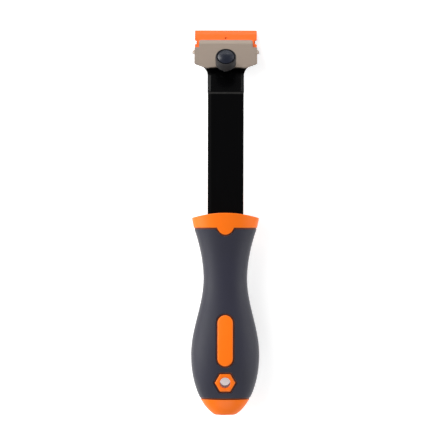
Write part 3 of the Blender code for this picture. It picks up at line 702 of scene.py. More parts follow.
def groove_floor(handle, across):
    """Depth of the groove at a place across the handle: shallow at the sides, to keep the outline whole."""
    return handle.side_groove + (handle.groove_depth - handle.side_groove) * (1 - across ** GROOVE_FADE)


def groove_depths(handle, spare=0.0):
    """Depth of the groove at each column, less a spare."""
    return [groove_floor(handle, across) - spare for across, out in column_directions(handle)]


def seam_shade_share(handle, spot):
    """How deep in a seam a place on the core lies, as the strength of the painted shade there, from 0 on the
    surface to 1 where that painted shade is darkest.
    """
    along = -spot.y
    in_hole = math.hypot(spot.x, along - handle.bezel_at) < handle.hang_radius + 2 * handle.hole_edge
    if in_hole or not handle.collar_end - handle.edge < along < handle.butt_start + handle.edge:
        return 0.0
    across = abs(spot.x) / handle_half(handle, along, 0)
    out = abs(spot.z) / handle_half(handle, along, 1)
    part = (across ** handle.fullness + out ** handle.fullness) ** (1 / handle.fullness)
    depth = (1 - part) * handle_half(handle, along, 1)
    return min(max(depth / (handle.seam_shade_depth * groove_floor(handle, min(across, 1.0))), 0.0), 1.0)


def collar_border(handle, offset):
    """Distance of the collar's border at each column, moved away from the collar by an offset."""
    centre = handle.collar_end + handle.tab_reach - handle.tab_radius
    base = handle.collar_end + offset
    radius = handle.tab_radius + offset
    soft = handle.tab_shoulder
    half_width = handle.collar[0] / 2
    plain = centre - base
    level = (plain + math.hypot(plain, soft)) / 2
    border = []
    for across, out in column_directions(handle):
        x = half_width * across
        dip = centre + math.sqrt(max(radius * radius - x * x, 0.0)) - base
        border.append(base + (dip + math.hypot(dip, soft)) / 2 - level)
    return border


def between(first, last, part):
    """Distances part of the way from one border to another."""
    return [start + (end - start) * part for start, end in zip(first, last)]


def even(start, end, pitch):
    """Even places from one to the other, about a pitch apart."""
    count = max(1, round((end - start) / pitch))
    return [start + (end - start) * step / count for step in range(count + 1)]


def butt_places(handle):
    """Distances over the butt, closing up towards its end, with room left for its rounded edge."""
    reach = handle.total - handle.butt_start
    turns = [math.pi / 2 * step / BUTT_STEPS for step in range(1, BUTT_STEPS)]
    places = [handle.butt_start + reach * math.sin(angle) for angle in turns]
    return [place for place in places if handle.total - place > handle.butt_edge / 2] + [handle.total]


def core_body(handle):
    """Core as one moulding: collar with an arched top and tabs, slim body under the grip, and butt."""
    rings = []
    rim = [handle.crown_rise * across * across for across, out in column_directions(handle)]
    for part in CROWN_SHARES:
        rings.append([(x * part, y * part * part, z * part) for x, y, z in handle_ring(handle, rim)])
    edges = {len(rings): handle.rim}
    border = collar_border(handle, 0.0)
    rings.append(handle_ring(handle, rim))
    rings += [handle_ring(handle, between(rim, border, part)) for part in COLLAR_SHARES]
    edges[len(rings)] = handle.edge
    rings.append(handle_ring(handle, border))
    under = handle.wall + handle.groove
    depths = groove_depths(handle)
    rings.append(handle_ring(handle, border, depths))
    step = collar_border(handle, handle.groove + handle.lap)
    rings.append(handle_ring(handle, step, depths))
    rings.append(handle_ring(handle, step, [under] * COLUMNS))
    deepest = max(step) + handle.lap
    back_step = handle.butt_start - handle.groove - handle.lap
    rings += [level_ring(handle, along, under) for along in even(deepest, back_step, CORE_PITCH)]
    rings += [handle_ring(handle, [along] * COLUMNS, depths) for along in (back_step, handle.butt_start)]
    edges[len(rings)] = handle.edge
    rings.append(level_ring(handle, handle.butt_start))
    rings += [level_ring(handle, along) for along in butt_places(handle)]
    edges[len(rings) - 1] = handle.butt_edge
    return loft("handle_core_shell", rings, edges=edges)


def grip_body(handle):
    """Grip as one moulding: its outside from the collar's border to the butt, and its lining back again."""
    start = collar_border(handle, handle.groove)
    level = [handle.collar_end + handle.tab_reach + 3 * handle.wall] * COLUMNS
    end = handle.butt_start - handle.groove
    parts = [step / GRIP_FRONT_STEPS for step in range(GRIP_FRONT_STEPS)]
    rings = [handle_ring(handle, between(start, level, part)) for part in parts]
    rings += [level_ring(handle, along) for along in even(level[0], end, GRIP_PITCH)]
    edges = {0: handle.edge, len(rings) - 1: handle.edge}
    skin = groove_depths(handle, handle.side_groove / 4)
    reach = handle.lap + STEP_PLAY * handle.groove
    step = collar_border(handle, handle.groove + reach)
    back_step = end - reach
    rings += [handle_ring(handle, [along] * COLUMNS, skin) for along in (end, back_step)]
    lining = even(back_step, level[0], -LINING_PITCH)
    rings += [level_ring(handle, along, handle.wall) for along in lining]
    rings += [handle_ring(handle, step, insets) for insets in ([handle.wall] * COLUMNS, skin)]
    rings.append(handle_ring(handle, start, skin))
    return loft("grip_shell", rings, closed=True, edges=edges)


def slot_outline(handle, offset, steps=16):
    """Slot with round ends, its sides moved outwards by an offset."""
    radius = handle.slot[0] / 2 + offset
    reach = (handle.slot[1] - handle.slot[0]) / 2
    front = arc((0.0, reach - handle.slot_at), radius, 0, 180, steps)
    side = even(reach, -reach, -SLOT_PITCH)[1:-1]
    left = [(-radius, along - handle.slot_at) for along in side]
    back = arc((0.0, -reach - handle.slot_at), radius, 180, 360, steps)
    right = [(radius, along - handle.slot_at) for along in reversed(side)]
    return front + left + back + right


def bezel_outline(handle, offset, steps=8):
    """Hexagon with rounded corners and flats square to Y, its sides moved outwards by an offset."""
    corner = max(handle.bezel_corner + offset, LEAST_CORNER)
    flats = handle.bezel_flats / 2 + offset
    reach = (flats - corner) * 2 / math.sqrt(3)
    outline = []
    for side in range(6):
        angle = 60 * side
        here = math.radians(angle)
        centre = (reach * math.cos(here), reach * math.sin(here) - handle.bezel_at)
        outline += arc(centre, corner, angle - 30, angle + 30, steps)
        ahead = math.radians(angle + 60)
        after = (reach * math.cos(ahead), reach * math.sin(ahead) - handle.bezel_at)
        start = Vector(outline[-1])
        run = Vector(after) - Vector(centre)
        outline += [tuple(start + run * step / steps) for step in range(1, steps)]
    return outline


def draped(handle, outline, height, side):
    """Outline laid on the handle's front, side 1, or back, side -1, at a height over its surface."""
    return [(x, y, side * (handle_surface(handle, x, -y) + height)) for x, y in outline]


def edge_rounding(width, steps=5):
    """Steps of a rounded edge as (distance in, distance down) from its wall to its top."""
    turns = [math.pi / 2 * step / steps for step in range(steps + 1)]
    return [(width * (1 - math.cos(angle)), width * (1 - math.sin(angle))) for angle in turns]


def pad_foot(handle, outline, side):
    """Ledge of a pad that fills its window in the grip up to the groove round the pad."""
    ledge = outline(handle, handle.groove - handle.window_gap)
    return [
        draped(handle, ledge, -handle.wall - 3 * handle.groove, side),
        draped(handle, ledge, -handle.groove_depth, side),
        draped(handle, outline(handle, 0.0), -handle.groove_depth, side),
    ]


def slot_pad(handle, side):
    """Hard pad with a rounded edge, draped on the handle, its foot in the core."""
    rings = pad_foot(handle, slot_outline, side)
    for inside, down in edge_rounding(handle.pad_edge):
        rings.append(draped(handle, slot_outline(handle, -inside), handle.pad_proud - down, side))
    middle = handle.slot[0] / 2
    for inside in even(handle.pad_edge, middle - STEP, PAD_PITCH)[1:]:
        rings.append(draped(handle, slot_outline(handle, -inside), handle.pad_proud, side))
    pad = loft("slot_pad", rings)
    merge_close(pad, 3 * STEP)
    return pad


def round_hole(handle, radius, outline):
    """Circle round the hang hole with a point in the direction of each of an outline's points."""
    points = []
    for x, y in outline:
        angle = math.atan2(y + handle.bezel_at, x)
        points.append((radius * math.cos(angle), radius * math.sin(angle) - handle.bezel_at))
    return points


def bezel_tube(handle):
    """Hexagonal tube through the handle that ends in a bezel on each face, with the hang hole in it."""
    rings = []
    outer = bezel_outline(handle, 0.0)
    hole_edge = handle.hole_edge
    for side in (1, -1):
        face = pad_foot(handle, bezel_outline, side)[1:]
        for inside, down in edge_rounding(handle.pad_edge):
            face.append(draped(handle, bezel_outline(handle, -inside), handle.pad_proud - down, side))
        wide = round_hole(handle, handle.hang_radius + hole_edge, outer)
        last = bezel_outline(handle, -handle.pad_edge)
        for part in BEZEL_SHARES:
            middle = [Vector(a).lerp(Vector(b), part) for a, b in zip(last, wide)]
            face.append(draped(handle, middle, handle.pad_proud, side))
        for inside, down in reversed(edge_rounding(hole_edge, 6)):
            circle = round_hole(handle, handle.hang_radius + inside, outer)
            face.append(draped(handle, circle, handle.pad_proud - down, side))
        narrow = round_hole(handle, handle.hang_radius, outer)
        face.append(draped(handle, narrow, -handle.wall, side))
        rings += face if side > 0 else list(reversed(face))
    return loft("bezel_tube", rings, closed=True)


def window_cutter(handle, outline, side):
    """Tool for a window in the grip: straight through its wall, then flared to round the window's edge."""
    clear = handle.groove
    edge = handle.flare_edge
    wide = outline(handle, clear + 2 * edge)
    # Lifted a little, so that the flare leaves the grip's surface at a slope
    lift = edge / 12
    rings = [draped(handle, outline(handle, clear), -handle.wall - 2 * edge, side)]
    for inside, down in edge_rounding(edge, 6)[:-1]:
        rings.append(draped(handle, outline(handle, clear + inside), -down + lift, side))
    rings += [draped(handle, wide, height, side) for height in (4 * lift, handle.bezel_flats / 2)]
    return loft("window_cutter", rings)


def bar_blank(bar, head):
    """Half widths of the bar's flat blank along its length, from the tang's tip to the seat's nose."""
    bend_end = bar.shaft_exposed + bar.bend_radius * bar.bend_angle
    tip = bar.tang_width / 2
    seat = head.blade[0] / 2
    nose = seat - head.lip_inset + bar.nose_margin
    middle = bend_end + head.screw_at + head.screw_to_blade + head.blade[1] / 2
    points = arc((0.0, tip - bar.tang_length), tip, -80, 0, 8)
    fillet = bar.shaft_width / 2 - tip
    points += arc((bar.shaft_width / 2, -bar.tang_shoulder - fillet), fillet, 180, 120, 6)
    points += [(bar.shaft_width / 2, -bar.tang_shoulder), (bar.shaft_width / 2, bar.shaft_exposed)]
    for part in even(0.0, 1.0, 1 / BEND_ROWS)[1:]:
        half = bar.shaft_width + (bar.neck_width - bar.shaft_width) * part
        points.append((half / 2, bar.shaft_exposed + (bend_end - bar.shaft_exposed) * part))
    neck = (bar.neck_width / 2 + bar.neck_fillet, bend_end + bar.neck_length)
    flare = arc(neck, bar.neck_fillet, 180, 105, 12)
    corner = (seat - bar.seat_corner, flare[-1][1] + bar.seat_corner)
    points += [point for point in flare if point[0] < corner[0]]
    points += arc(corner, bar.seat_corner, -60, 0, 5)
    points += [(seat, middle - head.shoulder_back), (nose, middle - head.shoulder_back)]
    points += [(nose, middle + bar.nose_past_centre)]
    return rows_in_order(points)


def bar_section(bar, margin):
    """Cross-section of the shaft with its eased edges, grown by a margin."""
    half = bar.shaft_width / 2 + margin
    thick = bar.thickness / 2 + margin
    side = thick - bar.ease_depth
    flat = half - bar.ease_width
    right = [(flat, -thick), (half, -side), (half, side), (flat, thick)]
    return right + [(-x, -y) for x, y in right]


def ease_faces(piece, bar):
    """Slope the edges of the bar's two broad faces."""
    pick(piece)
    bpy.ops.object.mode_set(mode="EDIT")
    bpy.ops.mesh.select_mode(type="FACE")
    for side in (1, -1):
        shape = bmesh.from_edit_mesh(piece.data)
        for face in shape.faces:
            face.select = face.normal.z * side > BROAD_FACE
        shape.select_flush_mode()
        bmesh.update_edit_mesh(piece.data)
        bpy.ops.mesh.inset(thickness=bar.ease_width, depth=bar.ease_depth)
    bpy.ops.object.mode_set(mode="OBJECT")


def rod(name, radius, depth, place):
    """Round tool solid along a placement's Z axis."""
    to_object_mode()
    bpy.ops.mesh.primitive_cylinder_add(vertices=HOLE_STEPS, radius=radius, depth=depth)
    tool = bpy.context.object
    tool.name = name
    tool.matrix_world = place
    return tool


def rivet_spots(head):
    """Places of the stop rivets, just behind the blade's rear edge."""
    rear = head.screw_to_blade - head.gap - head.rivet_radius
    return {"left": (-head.rivet_spacing / 2, rear), "right": (head.rivet_spacing / 2, rear)}


def plate_half(head):
    """Half width of the plate between its ears."""
    return head.blade[0] / 2 + head.ear_clearance - (head.ear_bend - head.sheet / 2)


def plate_blank(head):
    """Half widths of the clamp plate's blank along the head, from its tongue to its lip."""
    half = plate_half(head)
    heel = -head.heel_back
    meet = -math.degrees(math.asin(head.heel_back / head.tongue_radius))
    middle = head.screw_to_blade + head.blade[1] / 2
    shoulder = middle - head.shoulder_back
    lip_edge = middle + head.lip_past_centre
    ear = head.screw_to_blade + head.ear_ahead
    ear_end = half + head.ear_bend * math.pi / 2 + head.ear_drop
    lip = head.blade[0] / 2 - head.lip_inset
    points = arc((0.0, 0.0), head.tongue_radius, -85, meet, 10)
    points += [(head.heel_width / 2, heel)]
    heel_middle = (half - head.heel_corner, heel + head.heel_rise + head.heel_corner)
    points += arc(heel_middle, head.heel_corner, -65, 0, 6)
    points += [(half, ear - head.ear_root / 2), (ear_end, ear - head.ear_tip / 2)]
    points += [(ear_end, ear + head.ear_tip / 2), (half, ear + head.ear_root / 2)]
    shoulder_middle = (half - head.shoulder_corner, shoulder - head.shoulder_corner)
    points += arc(shoulder_middle, head.shoulder_corner, 0, 90, 5)
    points += [(lip, shoulder)]
    points += arc((lip - head.lip_corner, lip_edge - head.lip_corner), head.lip_corner, 0, 90, 5)
    return rows_in_order(points)


def notch_outline(head, side):
    """Outline of the notch in one end of the blade, carried on past the end with the same taper."""
    inner = head.blade[0] / 2 - head.notch_depth
    outer = head.blade[0] / 2 + head.notch_depth
    floor = head.notch_floor / 2
    wide = head.notch_mouth - floor
    corners = [(inner, -floor), (outer, -wide), (outer, wide), (inner, floor)]
    return [(side * x, y) for x, y in corners]


def prism(name, outline, foot, top):
    """Straight solid over an outline, from its foot to its top."""
    return loft(name, [[(x, y, level) for x, y in outline] for level in (foot, top)])


def threaded_rings(head, top, end):
    """Rings of a screw's shank from top to end, with a right-hand thread and a chamfered end."""
    rings = []
    chamfer = head.screw_end / 2
    for level in even(top, end, -head.screw_pitch / THREAD_RINGS):
        ring = []
        limit = head.screw_radius - chamfer + min(level - end, chamfer)
        for step in range(SCREW_STEPS):
            phase = (level / head.screw_pitch + step / SCREW_STEPS) % 1.0
            depth = head.thread_depth * min(1.0, THREAD_FLANK * abs(phase - 0.5))
            radius = min(head.screw_radius - depth, limit)
            angle = math.tau * step / SCREW_STEPS
            ring.append((radius * math.sin(angle), radius * math.cos(angle), level))
        rings.append(ring)
    return rings


def hexagon_ring(flats, level, limit, steps=NUT_STEPS):
    """Hexagon cut off at a limit radius, as a nut's corners are."""
    ring = []
    for step in range(steps):
        angle = math.tau * step / steps
        from_flat = (angle + math.pi / 6) % (math.pi / 3) - math.pi / 6
        radius = min(flats / 2 / math.cos(from_flat), limit)
        ring.append((radius * math.sin(angle), radius * math.cos(angle), level))
    return ring


def chamfer_rise(flats):
    """Height of the chamfer on a hexagon's corners."""
    return flats / 2 * (2 / math.sqrt(3) - 1) / 2


def chamfered_hexagon(flats, plain, chamfered, steps=NUT_STEPS):
    """Rings of a hexagon from its plain end to its end with the corners cut off."""
    rise = math.copysign(chamfer_rise(flats), plain - chamfered)
    limits = [(plain, flats), (chamfered + rise, flats)]
    limits += [(chamfered + rise / 2, flats * CHAMFER_MIDDLE), (chamfered, flats * CHAMFER_END)]
    return [hexagon_ring(flats, level, limit, steps) for level, limit in limits]


def nut_rings(head, top, foot):
    """Rings round a nut: down its outside, which is chamfered at the foot, and up its bore."""
    rise = chamfer_rise(head.nut_flats)
    bore = head.screw_radius + head.gap
    rings = chamfered_hexagon(head.nut_flats, top, foot)
    for level, radius in ((foot, bore + rise / 2), (foot + rise / 2, bore), (top, bore)):
        rings.append(hexagon_ring(2 * bore + 2 * rise, level, radius))
    return rings


def rivet_profile(head, levels):
    """Half section of a stop rivet: head on the seat, shank through it and formed tail behind it."""
    crown = levels["plate_top"] - head.sheet - head.gap
    foot = levels["seat"] + head.gap
    tail = levels["nut_top"]
    tip = tail - head.rivet_tail_height
    return [
        (STEP, crown),
        (head.rivet_radius, crown),
        (head.rivet_radius, foot),
        (head.rivet_shank, foot),
        (head.rivet_shank, tail),
        (head.rivet_tail, tail),
        (head.rivet_tail, tail - head.rivet_tail_height / 4),
        (head.rivet_tip, tip),
        (STEP, tip),
    ]


def knob_profile(head, floor):
    """Half section of the knob, with its bore and the recess for its cap down to a floor."""
    top = head.knob_height
    bore = head.screw_radius + head.gap
    recess = head.cap_radius + head.cap_moat
    return [
        (bore, 0.0),
        (head.knob_foot - head.gap, 0.0),
        (head.knob_foot, head.gap),
        (head.knob_top, top - head.knob_straight),
        (head.knob_top, top),
        (recess, top),
        (recess, floor),
        (bore, floor),
    ]


def cap_profile(head, foot):
    """Half section of the domed cap, from its foot to the crown of its dome."""
    top = head.knob_height
    profile = [(head.cap_radius, foot), (head.cap_radius, top)]
    for part in even(0.0, 1.0, 1 / DOME_STEPS)[1:-1]:
        radius = head.cap_radius * (1 - part)
        profile.append((radius, top + head.cap_dome * (1 - (radius / head.cap_radius) ** 2)))
    return profile


class Nodes:
    """Small builder for a shader's node tree."""

    def __init__(self, tree):
        self.tree = tree

    def add(self, kind, inputs=None, **settings):
        """New node with its settings; an input is a value, or the output that feeds it."""
        node = self.tree.nodes.new("ShaderNode" + kind)
        for name, value in settings.items():
            setattr(node, name, value)
        for name, value in (inputs or {}).items():
            self.feed(node.inputs[name], value)
        return node

    def feed(self, socket, value):
        """Set a socket, or link an output to it."""
        if isinstance(value, bpy.types.NodeSocket):
            self.tree.links.new(value, socket)
        else:
            socket.default_value = value


def new_group(name, inputs, outputs):
    """Empty shader node group, with its builder and its two ends."""
    tree = bpy.data.node_groups.new(name, "ShaderNodeTree")
    for label, kind in inputs:
        tree.interface.new_socket(label, in_out="INPUT", socket_type=kind)
    for label in outputs:
        tree.interface.new_socket(label, in_out="OUTPUT", socket_type="NodeSocketFloat")
    nodes = Nodes(tree)
    start = tree.nodes.new("NodeGroupInput")
    end = tree.nodes.new("NodeGroupOutput")
    return nodes, start.outputs, end.inputs


def moulded_grain_group():
    """Fine grain of a moulded surface, with broad soft patches from handling."""
    scales = [(label, "NodeSocketFloat") for label in ("Grain Scale", "Patch Scale")]
    nodes, given, out = new_group(
        "moulded_grain", [("Vector", "NodeSocketVector"), *scales], ["Height", "Grain", "Patch"])
    fine = {"Vector": given["Vector"], "Scale": given["Grain Scale"]}
    broad = {"Vector": given["Vector"], "Scale": given["Patch Scale"]}
    grain = nodes.add("TexNoise", {**fine, "Detail": 3.0, "Roughness": 0.6})
    cells = nodes.add("TexVoronoi", fine, feature="SMOOTH_F1")
    patch = nodes.add("TexNoise", {**broad, "Detail": 4.0, "Roughness": 0.55})
    height = nodes.add("Math", {1: cells.outputs["Distance"]}, operation="MULTIPLY_ADD")
    nodes.feed(height.inputs[0], grain.outputs["Fac"])
    nodes.feed(height.inputs[2], grain.outputs["Fac"])
    soft = nodes.add("MapRange", {"Value": patch.outputs["Fac"], "From Min": 0.35, "From Max": 0.65})
    nodes.feed(out["Height"], height.outputs[0])
    nodes.feed(out["Grain"], grain.outputs["Fac"])
    nodes.feed(out["Patch"], soft.outputs["Result"])
    return nodes.tree


def drawn_streaks_group():
    """Fine streaks that rolling or brushing leaves along one direction of a metal, and a few scratches."""
    nodes, given, out = new_group(
        "drawn_streaks",
        [("Vector", "NodeSocketVector"), ("Density", "NodeSocketFloat")],
        ["Streaks", "Scratches", "Patch"])
    fine = nodes.add(
        "TexNoise", {"Vector": given["Vector"], "Scale": given["Density"], "Detail": 4.0, "Roughness": 0.65})
    coarse = nodes.add("Math", {0: given["Density"], 1: SCRATCH_DENSITY}, operation="MULTIPLY")
    marks = nodes.add("TexNoise", {"Vector": given["Vector"], "Scale": coarse.outputs[0], "Detail": 2.0})
    scratch = nodes.add("MapRange", {"Value": marks.outputs["Fac"], "From Min": 0.66, "From Max": 0.74})
    broad = nodes.add("Math", {0: given["Density"], 1: PATCH_DENSITY}, operation="MULTIPLY")
    patch = nodes.add("TexNoise", {"Vector": given["Vector"], "Scale": broad.outputs[0], "Detail": 3.0})
    nodes.feed(out["Streaks"], fine.outputs["Fac"])
    nodes.feed(out["Scratches"], scratch.outputs["Result"])
    nodes.feed(out["Patch"], patch.outputs["Fac"])
    return nodes.tree


def shared_group(name):
    """Node group by its name, built the first time that a finish asks for it."""
    makers = {"moulded_grain": moulded_grain_group, "drawn_streaks": drawn_streaks_group}
    return bpy.data.node_groups.get(name) or makers[name]()


def new_finish(name, **fixed):
    """Material with a Principled shader whose fixed values are set on its own sockets."""
    finish = bpy.data.materials.new(name)
    finish.use_nodes = True
    nodes = Nodes(finish.node_tree)
    shader = finish.node_tree.nodes["Principled BSDF"]
    for label, value in fixed.items():
        shader.inputs[label.replace("_", " ")].default_value = value
    return finish, nodes, shader


def varied(nodes, plain, other, amount):
    """Colour that goes from plain to other with an amount; plain is a colour or the output that feeds one."""
    mix = nodes.add("Mix", data_type="RGBA", clamp_factor=True)
    nodes.feed(mix.inputs["Factor"], amount)
    nodes.feed(mix.inputs[6], plain if isinstance(plain, bpy.types.NodeSocket) else (*plain, 1.0))
    nodes.feed(mix.inputs[7], (*other, 1.0))
    return mix.outputs[2]


def ranged(nodes, value, middle, spread):
    """Value laid out round a middle figure, from below it to above it by a spread."""
    below, above = spread
    laid = nodes.add("MapRange", {"Value": value, "To Min": middle - below, "To Max": middle + above})
    return laid.outputs["Result"]


def shaded(tint, factor):
    """Colour made lighter or darker by a factor."""
    return tuple(min(channel * factor, 1.0) for channel in tint)


def moulded_finish(name, tint, grain, depth, roughness, specular, change=0.12, seam=None, **fixed):
    """Moulded plastic or rubber: grain in its bump, patches in its colour and its sheen, and painted shade in
    its seams.
    """
    finish, nodes, shader = new_finish(name, IOR=1.5, Specular_IOR_Level=specular, **fixed)
    place = nodes.add("TexCoord")
    group = nodes.add("Group", node_tree=shared_group("moulded_grain"))
    nodes.feed(group.inputs["Vector"], place.outputs["Object"])
    nodes.feed(group.inputs["Grain Scale"], grain)
    nodes.feed(group.inputs["Patch Scale"], PATCH_SCALE)
    lighter, darker = shaded(tint, 1 + change), shaded(tint, 1 - change)
    tinted = varied(nodes, darker, lighter, group.outputs["Patch"])
    # Painted shade down in the seams, by the mark that the core carries.
    if seam:
        tinted = varied(nodes, tinted, seam, nodes.add("Attribute", attribute_name="seam").outputs["Fac"])
    nodes.feed(shader.inputs["Base Color"], tinted)
    sheen = nodes.add("Math", {0: group.outputs["Patch"], 1: PATCH_SHEEN}, operation="MULTIPLY_ADD")
    nodes.feed(sheen.inputs[2], group.outputs["Grain"])
    nodes.feed(shader.inputs["Roughness"], ranged(nodes, sheen.outputs[0], roughness, MOULDED_SPREAD))
    bump = nodes.add("Bump", {"Strength": MOULDED_BUMP, "Distance": depth, "Height": group.outputs["Height"]})
    nodes.feed(shader.inputs["Normal"], bump.outputs["Normal"])
    return finish


def drawn_finish(name, tint, density, stretch, roughness, depth, change, bend_highlight=None, **fixed):
    """Metal with streaks along one direction, a few fine scratches, broad soft patches and a painted
    highlight where a place is marked for it.
    """
    finish, nodes, shader = new_finish(name, **fixed)
    place = nodes.add("TexCoord")
    mapping = nodes.add("Mapping", {"Vector": place.outputs["Object"], "Scale": stretch})
    group = nodes.add("Group", node_tree=shared_group("drawn_streaks"))
    nodes.feed(group.inputs["Vector"], mapping.outputs["Vector"])
    nodes.feed(group.inputs["Density"], density)
    lighter, darker = shaded(tint, 1 + change), shaded(tint, 1 - change)
    blend = nodes.add("Math", {0: group.outputs["Streaks"], 1: STREAK_PART}, operation="MULTIPLY_ADD")
    patches = nodes.add("Math", {0: group.outputs["Patch"], 1: PATCH_PART}, operation="MULTIPLY")
    nodes.feed(blend.inputs[2], patches.outputs[0])
    marked = nodes.add("Math", {0: group.outputs["Scratches"], 1: SCRATCH_PART}, operation="MULTIPLY_ADD")
    nodes.feed(marked.inputs[2], blend.outputs[0])
    tinted = varied(nodes, darker, lighter, marked.outputs[0])
    # Painted highlight: lighter colour where the bar is marked along its bend.
    if bend_highlight:
        bend_highlight_mask = nodes.add("Attribute", attribute_name="bend_highlight_mask")
        highlight_amount = nodes.add("Math", {0: bend_highlight_mask.outputs["Fac"], 1: blend.outputs[0]}, operation="MULTIPLY")
        tinted = varied(nodes, tinted, bend_highlight, highlight_amount.outputs[0])
    nodes.feed(shader.inputs["Base Color"], tinted)
    nodes.feed(shader.inputs["Roughness"], ranged(nodes, blend.outputs[0], roughness, DRAWN_SPREAD))
    bump = nodes.add("Bump", {"Strength": DRAWN_BUMP, "Distance": depth, "Height": group.outputs["Streaks"]})
    nodes.feed(shader.inputs["Normal"], bump.outputs["Normal"])
    return finish


def orange_plastic(colours):
    """Hard orange core: satin, with the fine grain of its mould and painted shade in the groove round its
    grip.
    """
    return moulded_finish(
        "core_moulding", colours.orange, grain=2600.0, depth=0.03 * MM, roughness=0.36, specular=0.22,
        change=0.04, seam=colours.seam)


def blade_plastic(colours):
    """Blade's orange plastic, a little glossier."""
    return moulded_finish(
        "blade_moulding", colours.blade, grain=3400.0, depth=0.02 * MM, roughness=0.36, specular=0.3,
        change=0.03)


def grip_rubber(colours):
    """Soft dark grip: matte fine grain with a faint bloom."""
    return moulded_finish(
        "grip_rubber", colours.grip, grain=2200.0, depth=0.06 * MM, roughness=0.5, specular=0.26,
        Sheen_Weight=0.2)


def knob_plastic(colours):
    """Dark moulded knob, satin."""
    return moulded_finish(
        "knob_plastic", colours.knob, grain=3000.0, depth=0.03 * MM, roughness=0.5, specular=0.1)


def cap_plastic(colours):
    """Knob's cap, glossier, and darker and bluer than the knob as painted shade."""
    return moulded_finish(
        "cap_plastic", colours.cap, grain=3600.0, depth=0.01 * MM, roughness=0.24, specular=0.18)


def black_coating(colours):
    """Black coated steel of the bar, with faint streaks along its length and a painted highlight along its
    bend.
    """
    return drawn_finish(
        "black_coating", colours.coating, density=1400.0, stretch=(1.0, 0.03, 1.0), roughness=0.24,
        depth=0.01 * MM, change=0.4, bend_highlight=colours.bend_highlight, Specular_IOR_Level=0.028)


def warm_plating(colours):
    """Warm grey plated steel of the clamp plate, with faint streaks across it."""
    return drawn_finish(
        "warm_plating", colours.plating, density=1500.0, stretch=(0.05, 1.0, 1.0), roughness=0.4,
        depth=0.01 * MM, change=0.1, Metallic=1.0)


def blackened_steel(colours):
    """Near-black steel of the screw: a blackened finish, and made dark to stand in for the shade under the
    knob.
    """
    return drawn_finish(
        "blackened_steel", colours.screw, density=2400.0, stretch=(1.0, 1.0, 1.0), roughness=0.38,
        depth=0.006 * MM, change=0.2, Specular_IOR_Level=0.3)


def zinc_plating(colours):
    """Bright plated steel of the fasteners."""
    return drawn_finish(
        "zinc_plating", colours.zinc, density=2400.0, stretch=(1.0, 1.0, 1.0), roughness=0.3,
        depth=0.006 * MM, change=0.1, Metallic=1.0)


class SCRAPER_OT_bar(Operator):
    """Model the bent steel bar with its eased edges and seat"""

    bl_idname = "scraper.bar"
    bl_label = "Bar"

    def execute(self, context):
        scene = context.scene
        bar, head = scene.scraper_bar, scene.scraper_head
        piece = strip("shaft_bar_shell", bar_blank(bar, head))
        apply_modifier(piece, "SOLIDIFY", thickness=bar.thickness - 2 * bar.ease_depth, offset=0.0)
        ease_faces(piece, bar)
        fold_down(piece, AHEAD, bar.shaft_exposed, bar.bend_radius, bar.bend_angle)
        round_corners(piece, bar.corner, bar.corner_turn, segments=2)
        # Painted highlight along the bend's ridge, fading to each side of it.
        outside = bar.bend_radius + bar.thickness / 2
        ridge = bar.shaft_exposed + outside * math.sin(bar.highlight_at * bar.bend_angle)
        mark(piece, "bend_highlight_mask", lambda spot: max(0.0, 1 - abs(spot.y - ridge) / bar.highlight_width))
        tool = tool_placement(scene.scraper_handle)
        place = head_placement()
        seat = head_levels(head, bar)["seat"] - bar.thickness / 2
        holes = {"screw": (0.0, 0.0, head.screw_radius + head.gap)}
        for name, spot in rivet_spots(head).items():
            holes[name] = (*spot, head.rivet_shank + head.gap)
        for name, (x, y, radius) in holes.items():
            cut(piece, rod(name, radius, 4 * bar.thickness, tool.inverted() @ shift(place, x, y, seat)))
        settle(
            piece, tool, "bar", black_coating(scene.scraper_colours), ["shaft_bar"], smooth=35)
        return {"FINISHED"}


class SCRAPER_OT_core(Operator):
    """Model the hard orange core: collar, pads, hang hole and butt"""

    bl_idname = "scraper.core"
    bl_label = "Core"

    def execute(self, context):
        scene = context.scene
        handle, bar = scene.scraper_handle, scene.scraper_bar
        core = core_body(handle)
        reach = handle.collar_end - handle.crown_rise
        slot = prism("bar_slot", bar_section(bar, bar.collar_gap), -reach, reach)
        slot.matrix_world = Matrix.Rotation(math.pi / 2, 4, "X")
        cut(core, slot)
        through = 2 * handle.belly[1]
        hang = Matrix.Translation((0.0, -handle.bezel_at, 0.0))
        cut(core, rod("hang_hole", handle.hang_radius + handle.pad_edge, through, hang))
        for side in (1, -1):
            cut(core, slot_pad(handle, side), "UNION")
        cut(core, bezel_tube(handle), "UNION")
        # Painted shade: how far down the groove round the grip each place of the core lies.
        mark(core, "seam", lambda spot: seam_shade_share(handle, spot))
        settle(
            core, tool_placement(handle), "bar", orange_plastic(scene.scraper_colours),
            ["handle_core"])
        return {"FINISHED"}


class SCRAPER_OT_grip(Operator):
    """Model the soft grip with its windows"""

    bl_idname = "scraper.grip"
    bl_label = "Grip"

    def execute(self, context):
        scene = context.scene
        handle = scene.scraper_handle
        grip = grip_body(handle)
        for side in (1, -1):
            for outline in (slot_outline, bezel_outline):
                cut(grip, window_cutter(handle, outline, side))
        settle(
            grip, tool_placement(handle), "bar", grip_rubber(scene.scraper_colours),
            ["grip_sleeve"])
        return {"FINISHED"}


